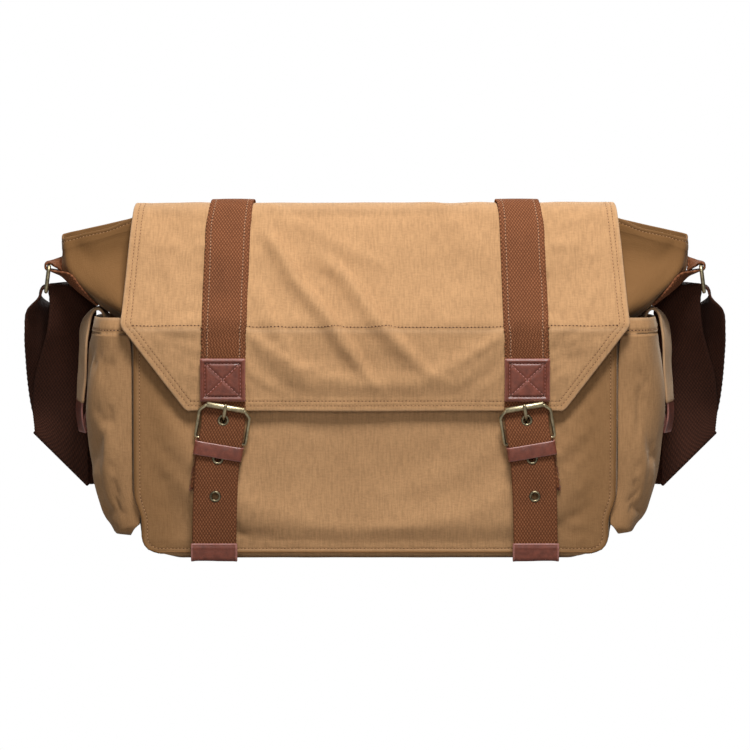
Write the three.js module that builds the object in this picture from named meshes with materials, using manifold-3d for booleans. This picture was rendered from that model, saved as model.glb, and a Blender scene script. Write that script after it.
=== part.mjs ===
// A canvas messenger bag: wedge-shaped body, front flap held by two buckled straps,
// a pocket on each end and a shoulder strap hung from two rings.
// Millimetres. +X is the bag's left-to-right, -Y its front, +Z up. It stands on Z = 0.
import * as THREE from 'three';
import { mergeVertices } from 'three/addons/utils/BufferGeometryUtils.js';
import Module from 'manifold-3d';

const wasm = await Module();
wasm.setup();

// ---- driving dimensions ----
const GAP = 0.3;                 // between pieces that touch
const STAND_BACK = 8.55;         // brings the middle of the bag's depth over the origin
const CANVAS = 2;                // one wall of doubled canvas
const WEBBING = 2;               // strap webbing
const LEATHER = 1.6;

const BODY_HALF_WIDTH = 217;
const BODY_TOP = 312;            // top edge of front and back panels
const BODY_LOW = 4;              // lowest seam, just above the bottom panel
const CORNER_RADIUS = 18;        // lower corners, seen from the front
const FOOT_HALF_DEPTH = 68;
const MOUTH_HALF_DEPTH = 14;
const BELLY = 3;                 // how far the lower walls bow out
const SHOULDER_LOW = 205;        // the walls start to close in here
const SHOULDER_HIGH = 285;       // and are closed from here up

const GUSSET_LOW_BULGE = 14;
const GUSSET_WING_BULGE = 72;
const WING_HIGH = 268;           // the gusset is fully folded out from here up
const WING_SAG = 17;             // the wing's tip lies this far below the panels' top

const FLAP_THICK = 3;
const STRAP_WIDTH = 38;          // webbing of the two front straps
const SHOULDER_WIDTH = 50;       // webbing of the shoulder strap
const SHOULDER_THICK = 2.4;

const BUCKLE_TILT = THREE.MathUtils.degToRad(9.9);
const BUCKLE_LEAN = THREE.MathUtils.degToRad(11.4);
const HEEL = new THREE.Vector3(-140.4, -77.05, 109.5);
const BUCKLE_HEIGHT = 32.1;      // heel bar to toe bar
const BUCKLE_HALF_WIDTH = 23;
const HEEL_BAR = 2;
const TOE_BAR = 1.4;
const ROLLER = 2.7;

const POCKET_TOP = 221;
const RING_BAR = new THREE.Vector3(-304, 0, 266);
const RING_LOW = new THREE.Vector3(-307, 0, 243);
const RING_HALF_WIDTH = 28;
const RING_SKEW = 0.127;         // the rings hang slightly turned, their backs further out
const WIRE = 1.8;

// ---- materials ----
function finish(color, roughness, metalness = 0) {
  return new THREE.MeshStandardMaterial({ color, roughness, metalness });
}
const canvas = () => finish(0xb98a5c, 0.95);
const canvasInside = () => finish(0xa67a50, 0.95);
const webbing = () => finish(0x7c4c33, 0.9);
const strapWebbing = () => finish(0x5e3826, 0.9);
const leather = () => finish(0x76463c, 0.5);
const brass = () => finish(0x8a7650, 0.4, 1);
const board = () => finish(0x5a5148, 0.8);

// ---- helpers ----
const bag = new THREE.Group();

function add(name, geometry, material) {
  const mesh = new THREE.Mesh(geometry, material);
  mesh.name = name;
  bag.add(mesh);
}

function indexed(positions, triangles) {
  const geometry = new THREE.BufferGeometry();
  geometry.setAttribute('position', new THREE.Float32BufferAttribute(positions, 3));
  geometry.setIndex(triangles);
  return geometry;
}

// A sheet of cloth: grid[row][column] are points of its surface, and it fills the space from
// `near` to `far` along the surface's normal (columns crossed with rows).
function sheet(grid, near, far) {
  const rows = grid.length;
  const columns = grid[0].length;
  const { clamp } = THREE.MathUtils;
  const at = (i, j) => grid[clamp(i, 0, rows - 1)][clamp(j, 0, columns - 1)];
  const positions = [];
  for (const offset of [near, far]) {
    for (let i = 0; i < rows; i++) {
      for (let j = 0; j < columns; j++) {
        const across = new THREE.Vector3().subVectors(at(i, j + 1), at(i, j - 1));
        const along = new THREE.Vector3().subVectors(at(i + 1, j), at(i - 1, j));
        const normal = across.cross(along).normalize();
        positions.push(...at(i, j).clone().addScaledVector(normal, offset).toArray());
      }
    }
  }
  const a = (i, j) => i * columns + j;
  const b = (i, j) => rows * columns + a(i, j);
  const triangles = [];
  const quad = (p, q, r, s) => triangles.push(p, q, r, p, r, s);
  for (let i = 0; i < rows - 1; i++) {
    for (let j = 0; j < columns - 1; j++) {
      quad(b(i, j), b(i, j + 1), b(i + 1, j + 1), b(i + 1, j));
      quad(a(i, j), a(i + 1, j), a(i + 1, j + 1), a(i, j + 1));
    }
  }
  for (let j = 0; j < columns - 1; j++) {
    quad(a(0, j), a(0, j + 1), b(0, j + 1), b(0, j));
    quad(a(rows - 1, j + 1), a(rows - 1, j), b(rows - 1, j), b(rows - 1, j + 1));
  }
  for (let i = 0; i < rows - 1; i++) {
    quad(a(i, 0), b(i, 0), b(i + 1, 0), a(i + 1, 0));
    quad(a(i + 1, columns - 1), b(i + 1, columns - 1), b(i, columns - 1), a(i, columns - 1));
  }
  return indexed(positions, triangles);
}

// The same solid on the other side of the bag.
function mirrored(geometry) {
  const copy = geometry.clone().scale(-1, 1, 1);
  const index = Array.from(copy.index.array);
  for (let i = 0; i < index.length; i += 3) {
    [index[i], index[i + 1]] = [index[i + 1], index[i]];
  }
  copy.setIndex(index);
  return copy;
}

function addPair(name, geometry, material) {
  const indexedGeometry = geometry.index ? geometry : mergeVertices(geometry);
  add(`${name}_left`, indexedGeometry, material());
  add(`${name}_right`, mirrored(indexedGeometry), material());
}

function solid(geometry) {
  const bare = geometry.clone();
  bare.deleteAttribute('normal');
  bare.deleteAttribute('uv');
  const merged = mergeVertices(bare, 1e-4);
  return new wasm.Manifold(new wasm.Mesh({
    numProp: 3,
    vertProperties: new Float32Array(merged.attributes.position.array),
    triVerts: new Uint32Array(merged.index.array),
  }));
}

function geometryOf(manifold) {
  const mesh = manifold.getMesh();
  return indexed(Array.from(mesh.vertProperties), Array.from(mesh.triVerts));
}

function joined(first, ...others) {
  return geometryOf(others.reduce((sum, g) => sum.add(solid(g)), solid(first)));
}

function cut(body, ...tools) {
  return geometryOf(tools.reduce((rest, g) => rest.subtract(solid(g)), solid(body)));
}

function box(low, high) {
  const size = high.map((value, axis) => value - low[axis]);
  const middle = high.map((value, axis) => (value + low[axis]) / 2);
  return new THREE.BoxGeometry(...size).translate(...middle);
}

// A round bar between two points.
function bar(from, to, radius, sides = 12) {
  const along = new THREE.Vector3().subVectors(to, from);
  const turn = new THREE.Quaternion().setFromUnitVectors(
    new THREE.Vector3(0, 1, 0), along.clone().normalize());
  const middle = new THREE.Vector3().addVectors(from, to).multiplyScalar(0.5);
  return new THREE.CylinderGeometry(radius, radius, along.length(), sides)
    .applyQuaternion(turn)
    .translate(...middle.toArray());
}

// A loop bent from round wire through four corners, with a radius for each side.
function wireFrame(corners, radii) {
  const bars = corners.map((corner, k) => bar(corner, corners[(k + 1) % 4], radii[k]));
  const balls = corners.map((corner, k) => {
    const radius = Math.max(radii[k], radii[(k + 3) % 4]);
    return new THREE.SphereGeometry(radius, 10, 6).translate(...corner.toArray());
  });
  return joined(...bars, ...balls);
}

const steps = (from, to, count) =>
  Array.from({ length: count + 1 }, (_, k) => from + (to - from) * k / count);

// ---- the body's shape ----
function smooth(from, to, value) {
  return THREE.MathUtils.smoothstep(value, from, to);
}

function halfDepth(z) {
  const belly = z < SHOULDER_LOW ? BELLY * Math.sin(Math.PI * z / SHOULDER_LOW) : 0;
  const open = 1 - smooth(SHOULDER_LOW, SHOULDER_HIGH, z);
  return MOUTH_HALF_DEPTH + (FOOT_HALF_DEPTH - MOUTH_HALF_DEPTH) * open + belly;
}

function halfWidth(z) {
  const below = Math.max(0, CORNER_RADIUS - (z - BODY_LOW));
  return BODY_HALF_WIDTH - CORNER_RADIUS + Math.sqrt(CORNER_RADIUS ** 2 - below ** 2);
}

// How far the gusset's middle stands out from the panels' side edges.
function gussetBulge(z) {
  const low = GUSSET_LOW_BULGE * Math.min(1, z / 60);
  return low + (GUSSET_WING_BULGE - GUSSET_LOW_BULGE) * smooth(SHOULDER_LOW, WING_HIGH, z);
}

// The end is round below, blunt where it folds out and sharper again at the mouth.
function foldShape(share, z) {
  const power = 1 - 0.67 * smooth(SHOULDER_LOW, 235, z) + 0.27 * smooth(SHOULDER_HIGH, 305, z);
  return Math.sin(Math.PI * THREE.MathUtils.clamp(share, 0, 1)) ** power;
}

// The gusset's inner face on the left, at depth y.
function gussetX(y, z) {
  const share = (y / halfDepth(z) + 1) / 2;
  return -(halfWidth(z) + 0.4 + gussetBulge(z) * foldShape(share, z));
}

const BODY_LEVELS = [BODY_LOW, 7, 12, 22, 60, 110, 160, 205, 221, 237, 253, 269, 285, BODY_TOP];

function panel(side) {
  const grid = BODY_LEVELS.map((z) => [-1, 1].map((end) =>
    new THREE.Vector3(-side * end * halfWidth(z), side * halfDepth(z), z)));
  return sheet(grid, -CANVAS, 0);
}
add('front_panel', panel(-1), canvas());
add('back_panel', panel(1), canvas());

const BOTTOM_HALF_WIDTH = BODY_HALF_WIDTH - CORNER_RADIUS - 1;
add('bottom_panel', box(
  [-BOTTOM_HALF_WIDTH, -FOOT_HALF_DEPTH + 2, 0],
  [BOTTOM_HALF_WIDTH, FOOT_HALF_DEPTH - 2, 3]), canvas());
add('base_board', box([-190, -60, 3.4], [190, 60, 6.4]), board());

function gusset() {
  const grid = BODY_LEVELS.map((level) => {
    const share = (level - BODY_LOW) / (BODY_TOP - BODY_LOW);
    return steps(0, 1, 8).map((t) => {
      const top = BODY_TOP - WING_SAG * foldShape(t, BODY_TOP);
      const z = BODY_LOW + share * (top - BODY_LOW);
      const y = halfDepth(z) * (1 - 2 * t);
      return new THREE.Vector3(gussetX(y, z), y, z);
    });
  });
  return sheet(grid, 0, CANVAS);
}
addPair('gusset', gusset(), canvas);

// A slip pocket sewn inside the back panel.
const innerPocket = [70, 110, 160, 200].map((z) => [1, -1].map((end) =>
  new THREE.Vector3(end * 150, halfDepth(z), z)));
add('inner_pocket', sheet(innerPocket, -CANVAS - GAP - 1.5, -CANVAS - GAP), canvasInside());

// ---- the flap ----
const FLAP_KINK = 214;           // the widest place, where the flap's sides turn in
const FLAP_LOW = 137.5;
const FLAP_BACK_WIDTH = 220;
const FLAP_KINK_WIDTH = 229.5;
const FLAP_LOW_WIDTH = 166.5;
// The flap's inner face from the hinge over the top and down the front, as [y, z].
const FLAP_LINE = [
  [19, 317], [14, 323], [4, 325.5], [-8, 325.5], [-17, 321], [-24, 312], [-36, 290], [-52, 256],
  [-68, 226], [-73.5, FLAP_KINK], [-75, 200], [-75.2, 182], [-75.2, 163], [-75, FLAP_LOW],
];

function flapHalfWidth(y, z) {
  if (z >= FLAP_KINK) {
    const share = (FLAP_LINE[0][1] - Math.min(z, FLAP_LINE[0][1])) / (FLAP_LINE[0][1] - FLAP_KINK);
    return FLAP_BACK_WIDTH + (FLAP_KINK_WIDTH - FLAP_BACK_WIDTH) * (y < 0 ? share : 0);
  }
  return THREE.MathUtils.mapLinear(z, FLAP_KINK, FLAP_LOW, FLAP_KINK_WIDTH, FLAP_LOW_WIDTH);
}

function flapStrip(line, edges, near, far) {
  const grid = line.map(([y, z]) => edges(y, z).map((x) => new THREE.Vector3(x, y, z)));
  return sheet(grid, near, far);
}
const fullWidth = (y, z) => [1, -1].map((side) => side * flapHalfWidth(y, z));
add('flap_shell', flapStrip(FLAP_LINE, fullWidth, 0, FLAP_THICK), canvas());

const facingWidth = (y, z) => [1, -1].map((side) => side * (flapHalfWidth(y, z) - 8));
add('flap_facing', flapStrip(FLAP_LINE.slice(9), facingWidth, -1.5 - GAP, -GAP), canvasInside());

// The flap's sewn edge, which stays on the back panel.
const HEM_LINE = [[14, 287], [14, 300], [16.4, 312], [18.6, 316.4]];
const HEM_HALF_WIDTH = BODY_HALF_WIDTH - 1;
const hemEdges = () => [HEM_HALF_WIDTH, -HEM_HALF_WIDTH];
add('flap_back_hem', flapStrip(HEM_LINE, hemEdges, GAP, GAP + FLAP_THICK), canvas());

// ---- the two front straps ----
const flapStrapX = (z) => THREE.MathUtils.mapLinear(z, 325, FLAP_LOW, -135, -137.7);
const webbingEdges = (y, z) => [1, -1].map((side) => flapStrapX(z) + side * STRAP_WIDTH / 2);
const WEBBING_NEAR = FLAP_THICK + GAP;
const WEBBING_LINE = FLAP_LINE.slice(1, 13);
addPair('flap_webbing',
  flapStrip(WEBBING_LINE, webbingEdges, WEBBING_NEAR, WEBBING_NEAR + WEBBING), webbing);

const PATCH_HALF = 19.3;
const PATCH_LOW = 147.5;
const PATCH_HIGH = 184;
const patchOut = 75.2 + WEBBING_NEAR + WEBBING + GAP;
const PATCH_X = -137.5;
addPair('leather_patch', box(
  [PATCH_X - PATCH_HALF, -patchOut - LEATHER, PATCH_LOW],
  [PATCH_X + PATCH_HALF, -patchOut, PATCH_HIGH]), leather);

// The tail's back face, as [x, y, z]: out from under the patch, behind the roller,
// over the heel bar, through the keeper and down to the ground.
const TAIL_LINE = [
  [-137.2, -78.4, 162.6], [-137.2, -78.4, 141], [-137.3, -79.4, 128.7], [-139.8, -81.2, 109.5],
  [-142.2, -81.4, 94], [-144.8, -80.9, 59.6], [-145.7, -80.6, 25], [-146, -80.6, 3],
];
const EYELET_HEIGHTS = [128.7, 94, 59.6];
const EYELET_HOLE = 3;
const EYELET_BARREL = 3.5;
const EYELET_FLANGE = 5.2;

function tailPoint(z) {
  const k = TAIL_LINE.findIndex((point) => point[2] <= z);
  const [above, below] = [TAIL_LINE[k - 1], TAIL_LINE[k]];
  const share = (above[2] - z) / (above[2] - below[2]);
  const [x, y] = [0, 1].map((axis) => above[axis] + share * (below[axis] - above[axis]));
  return new THREE.Vector3(x, y, z);
}

function tail() {
  const grid = TAIL_LINE.map(([x, y, z]) => [1, -1].map((side) =>
    new THREE.Vector3(x + side * STRAP_WIDTH / 2, y, z)));
  const holes = EYELET_HEIGHTS.map((z) => {
    const middle = tailPoint(z);
    const out = new THREE.Vector3(0, 5, 0);
    return bar(middle.clone().sub(out), middle.clone().add(out), EYELET_BARREL + 0.5, 16);
  });
  return cut(sheet(grid, 0, WEBBING), ...holes);
}
addPair('strap_tail', tail(), webbing);

// A spool-shaped eyelet: a barrel through the webbing with a flange on each face.
function eyelet(z) {
  const inner = WEBBING / 2 + 0.25;
  const outer = inner + 0.7;
  const profile = [
    [EYELET_HOLE, -outer], [EYELET_FLANGE, -outer], [EYELET_FLANGE, -inner], [EYELET_BARREL, -inner],
    [EYELET_BARREL, inner], [EYELET_FLANGE, inner], [EYELET_FLANGE, outer], [EYELET_HOLE, outer],
    [EYELET_HOLE, -outer],
  ].map(([r, h]) => new THREE.Vector2(r, h));
  const middle = tailPoint(z);
  const slope = Math.atan2(tailPoint(z - 3).y - tailPoint(z + 3).y, 6);
  return new THREE.LatheGeometry(profile, 16)
    .rotateX(slope)
    .translate(middle.x, middle.y - WEBBING / 2, z);
}
EYELET_HEIGHTS.forEach((z, k) => {
  const spool = geometryOf(solid(eyelet(z)));
  add(`eyelet_left_${k + 1}`, spool, brass());
  add(`eyelet_right_${k + 1}`, mirrored(spool), brass());
});

// A leather cap folded round the tail's end.
const TIP_HIGH = 16;
const tipShell = box([-146 - 20.5, -84.6, 0.6], [-146 + 20.5, -78.6, TIP_HIGH]);
const tipPocket = box([-146 - 19.6, -83, 2.4], [-146 + 19.6, -80.2, TIP_HIGH + 1]);
addPair('strap_tip', cut(tipShell, tipPocket), leather);

// ---- buckles, drawn for the left one about its heel bar's middle ----
const point = (x, y, z) => new THREE.Vector3(x, y, z);

function placed(geometry, lean = 0) {
  return geometry.rotateX(lean).rotateY(BUCKLE_TILT).translate(...HEEL.toArray());
}

const frameCorners = [
  point(-BUCKLE_HALF_WIDTH, 0, 0), point(BUCKLE_HALF_WIDTH, 0, 0),
  point(BUCKLE_HALF_WIDTH, 0, BUCKLE_HEIGHT), point(-BUCKLE_HALF_WIDTH, 0, BUCKLE_HEIGHT),
];
const SIDE_BAR = 2;
const frameBars = [HEEL_BAR, SIDE_BAR, TOE_BAR, SIDE_BAR];
addPair('buckle_frame', placed(wireFrame(frameCorners, frameBars), BUCKLE_LEAN), brass);

const ROLLER_HALF = 18;
const rollerProfile = [
  [TOE_BAR + 0.1, -ROLLER_HALF], [ROLLER, -ROLLER_HALF], [ROLLER, ROLLER_HALF],
  [TOE_BAR + 0.1, ROLLER_HALF], [TOE_BAR + 0.1, -ROLLER_HALF],
].map(([r, h]) => new THREE.Vector2(r, h));
const roller = geometryOf(solid(new THREE.LatheGeometry(rollerProfile, 20)
  .rotateZ(Math.PI / 2)
  .translate(0, 0, BUCKLE_HEIGHT)));
addPair('roller', placed(roller, BUCKLE_LEAN), brass);

// The tongue: a ring round the heel bar and a pin that rises behind the tail,
// comes through the first eyelet and rests on the roller.
const TONGUE_WIRE = 1;
const TONGUE_LINE = [
  [0, -0.1, 2.6], [0, 0, 9], [0, 0.1, 15], [0, -0.4, 17.3], [0, -1.8, 18.6], [0, -3.4, 19.5],
  [0, -5.2, 20.6], [0, -7.8, 23.4], [0, -10.4, 29.4], [0, -10.9, 34.4],
];
function tongue() {
  const ringProfile = [
    [HEEL_BAR + 0.15, -2], [HEEL_BAR + 1.3, -2], [HEEL_BAR + 1.3, 2], [HEEL_BAR + 0.15, 2],
    [HEEL_BAR + 0.15, -2],
  ].map(([r, h]) => new THREE.Vector2(r, h));
  const ring = new THREE.LatheGeometry(ringProfile, 16).rotateZ(Math.PI / 2);
  const circle = new THREE.Shape().absarc(0, 0, TONGUE_WIRE, 0, 2 * Math.PI);
  const path = new THREE.CatmullRomCurve3(TONGUE_LINE.map((p) => point(...p)));
  const pin = new THREE.ExtrudeGeometry(circle, { extrudePath: path, steps: 24, curveSegments: 5 });
  return joined(ring, pin);
}
addPair('tongue', placed(tongue()), brass);

// The chape: webbing folded round the heel bar, slotted for the tongue and sewn to the front panel.
function chape() {
  const foldRadius = HEEL_BAR + 0.25 + LEATHER;
  const back = foldRadius;
  const plate = box([-STRAP_WIDTH / 2, back - 3.5, -47], [STRAP_WIDTH / 2, back, -1.5]);
  const end = STRAP_WIDTH / 2;
  const fold = bar(point(-end, 0, 0), point(end, 0, 0), foldRadius, 20);
  const hole = bar(point(-end - 1, 0, 0), point(end + 1, 0, 0), HEEL_BAR + 0.25, 20);
  const slot = box([-2.9, -6, -3.4], [2.9, 6, 6]);
  return cut(joined(plate, fold), hole, slot);
}
addPair('chape', placed(chape()), webbing);

// The keeper: a leather band round the tail and the chape.
const KEEPER_LOW = -15;
const KEEPER_HIGH = -2.5;
const keeperBack = HEEL_BAR + 0.25 + LEATHER + GAP;
const keeperFront = -7.4;
addPair('keeper', placed(cut(
  box([-21.8, keeperFront - LEATHER, KEEPER_LOW], [21.8, keeperBack + LEATHER, KEEPER_HIGH]),
  box([-20.2, keeperFront, KEEPER_LOW - 1], [20.2, keeperBack, KEEPER_HIGH + 1]))), leather);

// ---- end pockets ----
const POCKET_HALF_DEPTH = 65;
const POCKET_LEVELS = [
  [21, 3], [22, 18.3], [30, 22.3], [44, 26.8], [67, 33.3], [110, 40.3], [190, 40.3], [POCKET_TOP, 33.3],
];
const POCKET_STAND = 5.2;        // where it is sewn to the gusset, out from the panels' edges

function sidePocket() {
  const grid = POCKET_LEVELS.map(([z, bulge]) => steps(0, Math.PI, 10).map((angle) => {
    const stand = POCKET_STAND + 2.6 * smooth(180, POCKET_TOP, z);
    const round = Math.sqrt(Math.sin(angle) + 1e-9);
    const half = Math.min(POCKET_HALF_DEPTH, halfDepth(z) - 3);
    return new THREE.Vector3(-halfWidth(z) - stand - bulge * round, half * Math.cos(angle), z);
  }));
  return sheet(grid, 0, CANVAS);
}
addPair('side_pocket', sidePocket(), canvas);

// A strip of cloth or leather whose line lies in a plane of constant y.
function crossStrip(line, halfWidthY, near, far) {
  const grid = line.map(([x, z]) => [-1, 1].map((end) => new THREE.Vector3(x, end * halfWidthY, z)));
  return sheet(grid, near, far);
}
const TAB_HALF = 16;
addPair('tab_anchor', crossStrip(
  [[-250.2, 214], [-250.8, 221], [-253, 225.4], [-256.4, 227], [-259.4, 226.2], [-262, 224.8]],
  TAB_HALF, 0, CANVAS), canvas);
addPair('pocket_tab', crossStrip(
  [[-262.4, 224.56], [-265.4, 222.76], [-269, 218], [-271, 208], [-272.5, 190], [-273, 172],
    [-274.6, 155], [-275.5, 141]],
  TAB_HALF, 0, CANVAS), canvas);
addPair('tab_tip', crossStrip(
  [[-275.6, 140.6], [-276.6, 130], [-275.4, 120], [-273.2, 112]], TAB_HALF - 3, 0, LEATHER), leather);
addPair('tab_loop', crossStrip(
  [[-265.2, 134], [-268.6, 131.5], [-271.2, 126], [-271.6, 120], [-270, 113], [-265.4, 107]],
  7, 0, LEATHER), leather);

// ---- rings and the webbing tabs that hold them ----
const RING_TAB_HALF = 23;
const RING_TAB_LIE = CANVAS + WEBBING / 2 + 1.3;

// A point over the left gusset's inner face, `lift` out along its normal.
function overGusset(y, z, lift) {
  const x = gussetX(y, z);
  const slopeY = (gussetX(y + 0.5, z) - gussetX(y - 0.5, z));
  const slopeZ = (gussetX(y, z + 0.5) - gussetX(y, z - 0.5));
  const normal = new THREE.Vector3(-1, slopeY, slopeZ).normalize();
  return new THREE.Vector3(x, y, z).addScaledVector(normal, lift);
}

// The tab climbs the gusset's fold, leaves it for the ring's upper bar and comes back to be sewn.
function ringTab() {
  const columns = steps(RING_TAB_HALF, -RING_TAB_HALF, 6);
  const lying = (z) => columns.map((y) => {
    const reach = Math.min(1, halfDepth(z) * 0.55 / RING_TAB_HALF);
    return overGusset(y * reach, z, RING_TAB_LIE);
  });
  const flat = (x, z) => columns.map((y) => new THREE.Vector3(x - RING_SKEW * y, y, z));
  const between = (row, other) => row.map((p, j) => p.clone().lerp(other[j], 0.5));
  const radius = WIRE + 0.7 + WEBBING / 2;
  const round = steps(270, 90, 6).map((angle) => {
    const turn = THREE.MathUtils.degToRad(angle);
    return flat(RING_BAR.x + radius * Math.cos(turn), RING_BAR.z + radius * Math.sin(turn));
  });
  const rows = [234, 241, 248, 254].map(lying);
  rows.push(between(lying(259), round[0]), ...round);
  rows.push(between(round[6], lying(277)), lying(280), lying(284));
  return sheet(rows, -WEBBING / 2, WEBBING / 2);
}
addPair('ring_tab', ringTab(), webbing);

const ringPoint = (middle, y) => point(middle.x - RING_SKEW * y, y, middle.z);
const ringCorners = [
  ringPoint(RING_BAR, -RING_HALF_WIDTH), ringPoint(RING_BAR, RING_HALF_WIDTH),
  ringPoint(RING_LOW, RING_HALF_WIDTH), ringPoint(RING_LOW, -RING_HALF_WIDTH),
];
addPair('ring', wireFrame(ringCorners, [WIRE, WIRE, WIRE, WIRE]), brass);

// ---- the shoulder strap ----
// Each row is the strap's middle line and the direction of its width: over the ring's lower bar,
// down the end of the bag, turned back on itself by a diagonal fold, and behind the bag.
const ALONG_RING = [-RING_SKEW, 1, 0];
const STRAP_ROUTE = [
  [[-306.8, 0, 246.9], ALONG_RING], [[-304.4, 0.3, 247.3], [-0.09, 1, 0]],
  [[-301.5, 1.2, 248.1], [0.05, 1, 0]], [[-296.5, 3, 248.9], [0.28, 0.96, 0]],
  [[-290.4, 6, 247.3], [0.5, 0.87, 0]], [[-286, 10, 242], [0.67, 0.74, 0]],
  [[-283.6, 13, 233], [0.75, 0.66, 0]], [[-284.4, 17, 219], [0.78, 0.63, 0]],
  [[-286.6, 22, 204], [0.8, 0.6, 0]], [[-290.8, 29, 184], [0.9, 0.43, 0]],
  [[-297, 38, 160], [0.97, 0.24, 0]], [[-300, 46, 136], [1, 0, 0]],
];
const FOLD_HIGH = 106;
const FOLD_LOW = 56;
const FOLD_OUT = -325;
const FOLD_IN = -275;
// The diagonal fold: the last of the front layer, the crease and the first of the back layer.
const FOLD_ROWS = [[0, 52], [-2.4, 54.4], [0, 56.8]];
// The run behind the bag, as [x, y].
const BACK_RUN = [[-264, 63], [-245, 70], [-215, 76], [-160, 78], [-100, 78.5], [-50, 78.5], [-2.4, 78]];

function shoulderStrap() {
  const half = SHOULDER_WIDTH / 2;
  const rows = STRAP_ROUTE.map(([middle, width]) => {
    const across = point(...width).normalize().multiplyScalar(half);
    return [point(...middle).sub(across), point(...middle).add(across)];
  });
  for (const [shift, y] of FOLD_ROWS) {
    const outer = point(FOLD_OUT + shift, y, FOLD_HIGH + shift);
    const inner = point(FOLD_IN + shift, y, FOLD_LOW + shift);
    rows.push([outer, inner]);
  }
  for (const [x, y] of BACK_RUN) {
    rows.push([point(x, y, FOLD_HIGH), point(x, y, FOLD_LOW)]);
  }
  return sheet(rows, -SHOULDER_THICK / 2, SHOULDER_THICK / 2);
}
addPair('shoulder_strap', shoulderStrap(), strapWebbing);

// The end that comes back out of the ring and is sewn to the strap above the fold.
const RETURN_ROUTE = [
  [[-308, 0, 246.9], ALONG_RING], [[-309, 0, 246.5], ALONG_RING],
  [[-310.6, 0, 245], ALONG_RING], [[-312.6, 0, 239], ALONG_RING],
  [[-312.5, 6, 225], [0.38, 0.92, 0]], [[-313.5, 15, 205], [0.48, 0.88, 0]],
  [[-309, 33, 177], [0.76, 0.65, 0]], [[-306, 50, 152], [0.93, 0.37, 0]],
  [[-304, 59, 133], [1, 0.1, 0]], [[-301.5, 63, 117], [1, 0, 0]],
];
function strapReturn() {
  const rows = RETURN_ROUTE.map(([middle, width]) => {
    const across = point(...width).normalize().multiplyScalar(SHOULDER_WIDTH / 2);
    return [point(...middle).add(across), point(...middle).sub(across)];
  });
  return sheet(rows, -SHOULDER_THICK / 2, SHOULDER_THICK / 2);
}
addPair('strap_return', strapReturn(), strapWebbing);

// The adjuster where the strap's two lengths meet behind the bag.
const SLIDER_Z = (FOLD_HIGH + FOLD_LOW) / 2;
const SLIDER_RAIL = SHOULDER_WIDTH / 2 + 1.2;
function slider() {
  const rails = [-1, 1].map((side) => {
    const middle = SLIDER_Z + side * (SLIDER_RAIL + 1.5);
    return box([-16, 76.6, middle - 1.5], [16, 83, middle + 1.5]);
  });
  const reach = SLIDER_RAIL + 1;
  const upright = (x0, x1, y0, y1) =>
    box([x0, y0, SLIDER_Z - reach], [x1, y1, SLIDER_Z + reach]);
  return joined(...rails,
    upright(-16, -12, 80, 83), upright(12, 16, 80, 83), upright(-1.8, 1.8, 76.6, 79.6));
}
add('strap_slider', slider(), brass());

bag.position.y = STAND_BACK;

export default bag;
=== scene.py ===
"""Looks of a canvas messenger bag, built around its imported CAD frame.

Metres, +Z up, the front faces -Y. Shapes are worked out in the bag's own millimetres, whose
origin lies STAND_BACK in front of the frame's, and turned into metres as each mesh is made.
"""
import math

import bpy
import numpy as np
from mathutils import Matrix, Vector


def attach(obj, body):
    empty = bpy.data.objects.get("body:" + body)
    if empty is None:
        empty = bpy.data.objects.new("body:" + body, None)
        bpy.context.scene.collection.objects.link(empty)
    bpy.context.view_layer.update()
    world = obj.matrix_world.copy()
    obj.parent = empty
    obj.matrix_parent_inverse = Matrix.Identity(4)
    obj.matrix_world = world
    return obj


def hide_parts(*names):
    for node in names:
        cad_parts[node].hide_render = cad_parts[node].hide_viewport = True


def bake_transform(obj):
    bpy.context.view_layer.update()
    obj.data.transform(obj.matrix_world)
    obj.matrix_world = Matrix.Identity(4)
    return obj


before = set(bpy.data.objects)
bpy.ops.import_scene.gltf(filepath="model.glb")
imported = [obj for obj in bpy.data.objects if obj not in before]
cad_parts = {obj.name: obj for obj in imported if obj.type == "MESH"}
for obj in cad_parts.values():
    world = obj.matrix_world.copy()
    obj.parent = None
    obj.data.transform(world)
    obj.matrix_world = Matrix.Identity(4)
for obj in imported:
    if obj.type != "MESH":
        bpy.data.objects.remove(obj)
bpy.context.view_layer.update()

STAND_BACK = 8.55
SIDES = {"left": 1, "right": -1}     # shapes are drawn for the left end and mirrored


# ---------------------------------------------------------------- numbers and curves
def metres(points):
    moved = np.array(points, float)
    moved[..., 1] += STAND_BACK
    return moved / 1000


def unit(vectors):
    return vectors / np.maximum(np.linalg.norm(vectors, axis=-1, keepdims=True), 1e-12)


def smooth(low, high, value):
    t = np.clip((np.asarray(value, float) - low) / (high - low), 0, 1)
    return t * t * (3 - 2 * t)


def lengths(points):
    return np.concatenate([[0], np.cumsum(np.linalg.norm(np.diff(points, axis=0), axis=1))])


def curve(knots, count):
    """`count` points evenly spaced along a smooth curve through the knots."""
    knots = np.array(knots, float)
    t = lengths(knots)
    slope = np.gradient(knots, t, axis=0)
    at = np.linspace(0, t[-1], 12 * len(knots) + 4 * count)
    k = np.clip(np.searchsorted(t, at, side="right") - 1, 0, len(t) - 2)
    h = (t[k + 1] - t[k])[:, None]
    u = ((at - t[k]) / (t[k + 1] - t[k]))[:, None]
    dense = ((2 * u**3 - 3 * u**2 + 1) * knots[k] + (u**3 - 2 * u**2 + u) * h * slope[k]
             + (3 * u**2 - 2 * u**3) * knots[k + 1] + (u**3 - u**2) * h * slope[k + 1])
    return resampled(dense, np.linspace(0, lengths(dense)[-1], count))


def resampled(points, at):
    t = lengths(points)
    return np.stack([np.interp(at, t, points[:, k]) for k in range(points.shape[1])], axis=1)


def index_of(wanted, values):
    """The fractional index of wanted values among rising ones."""
    return np.interp(wanted, values, np.arange(len(values)))


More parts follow.
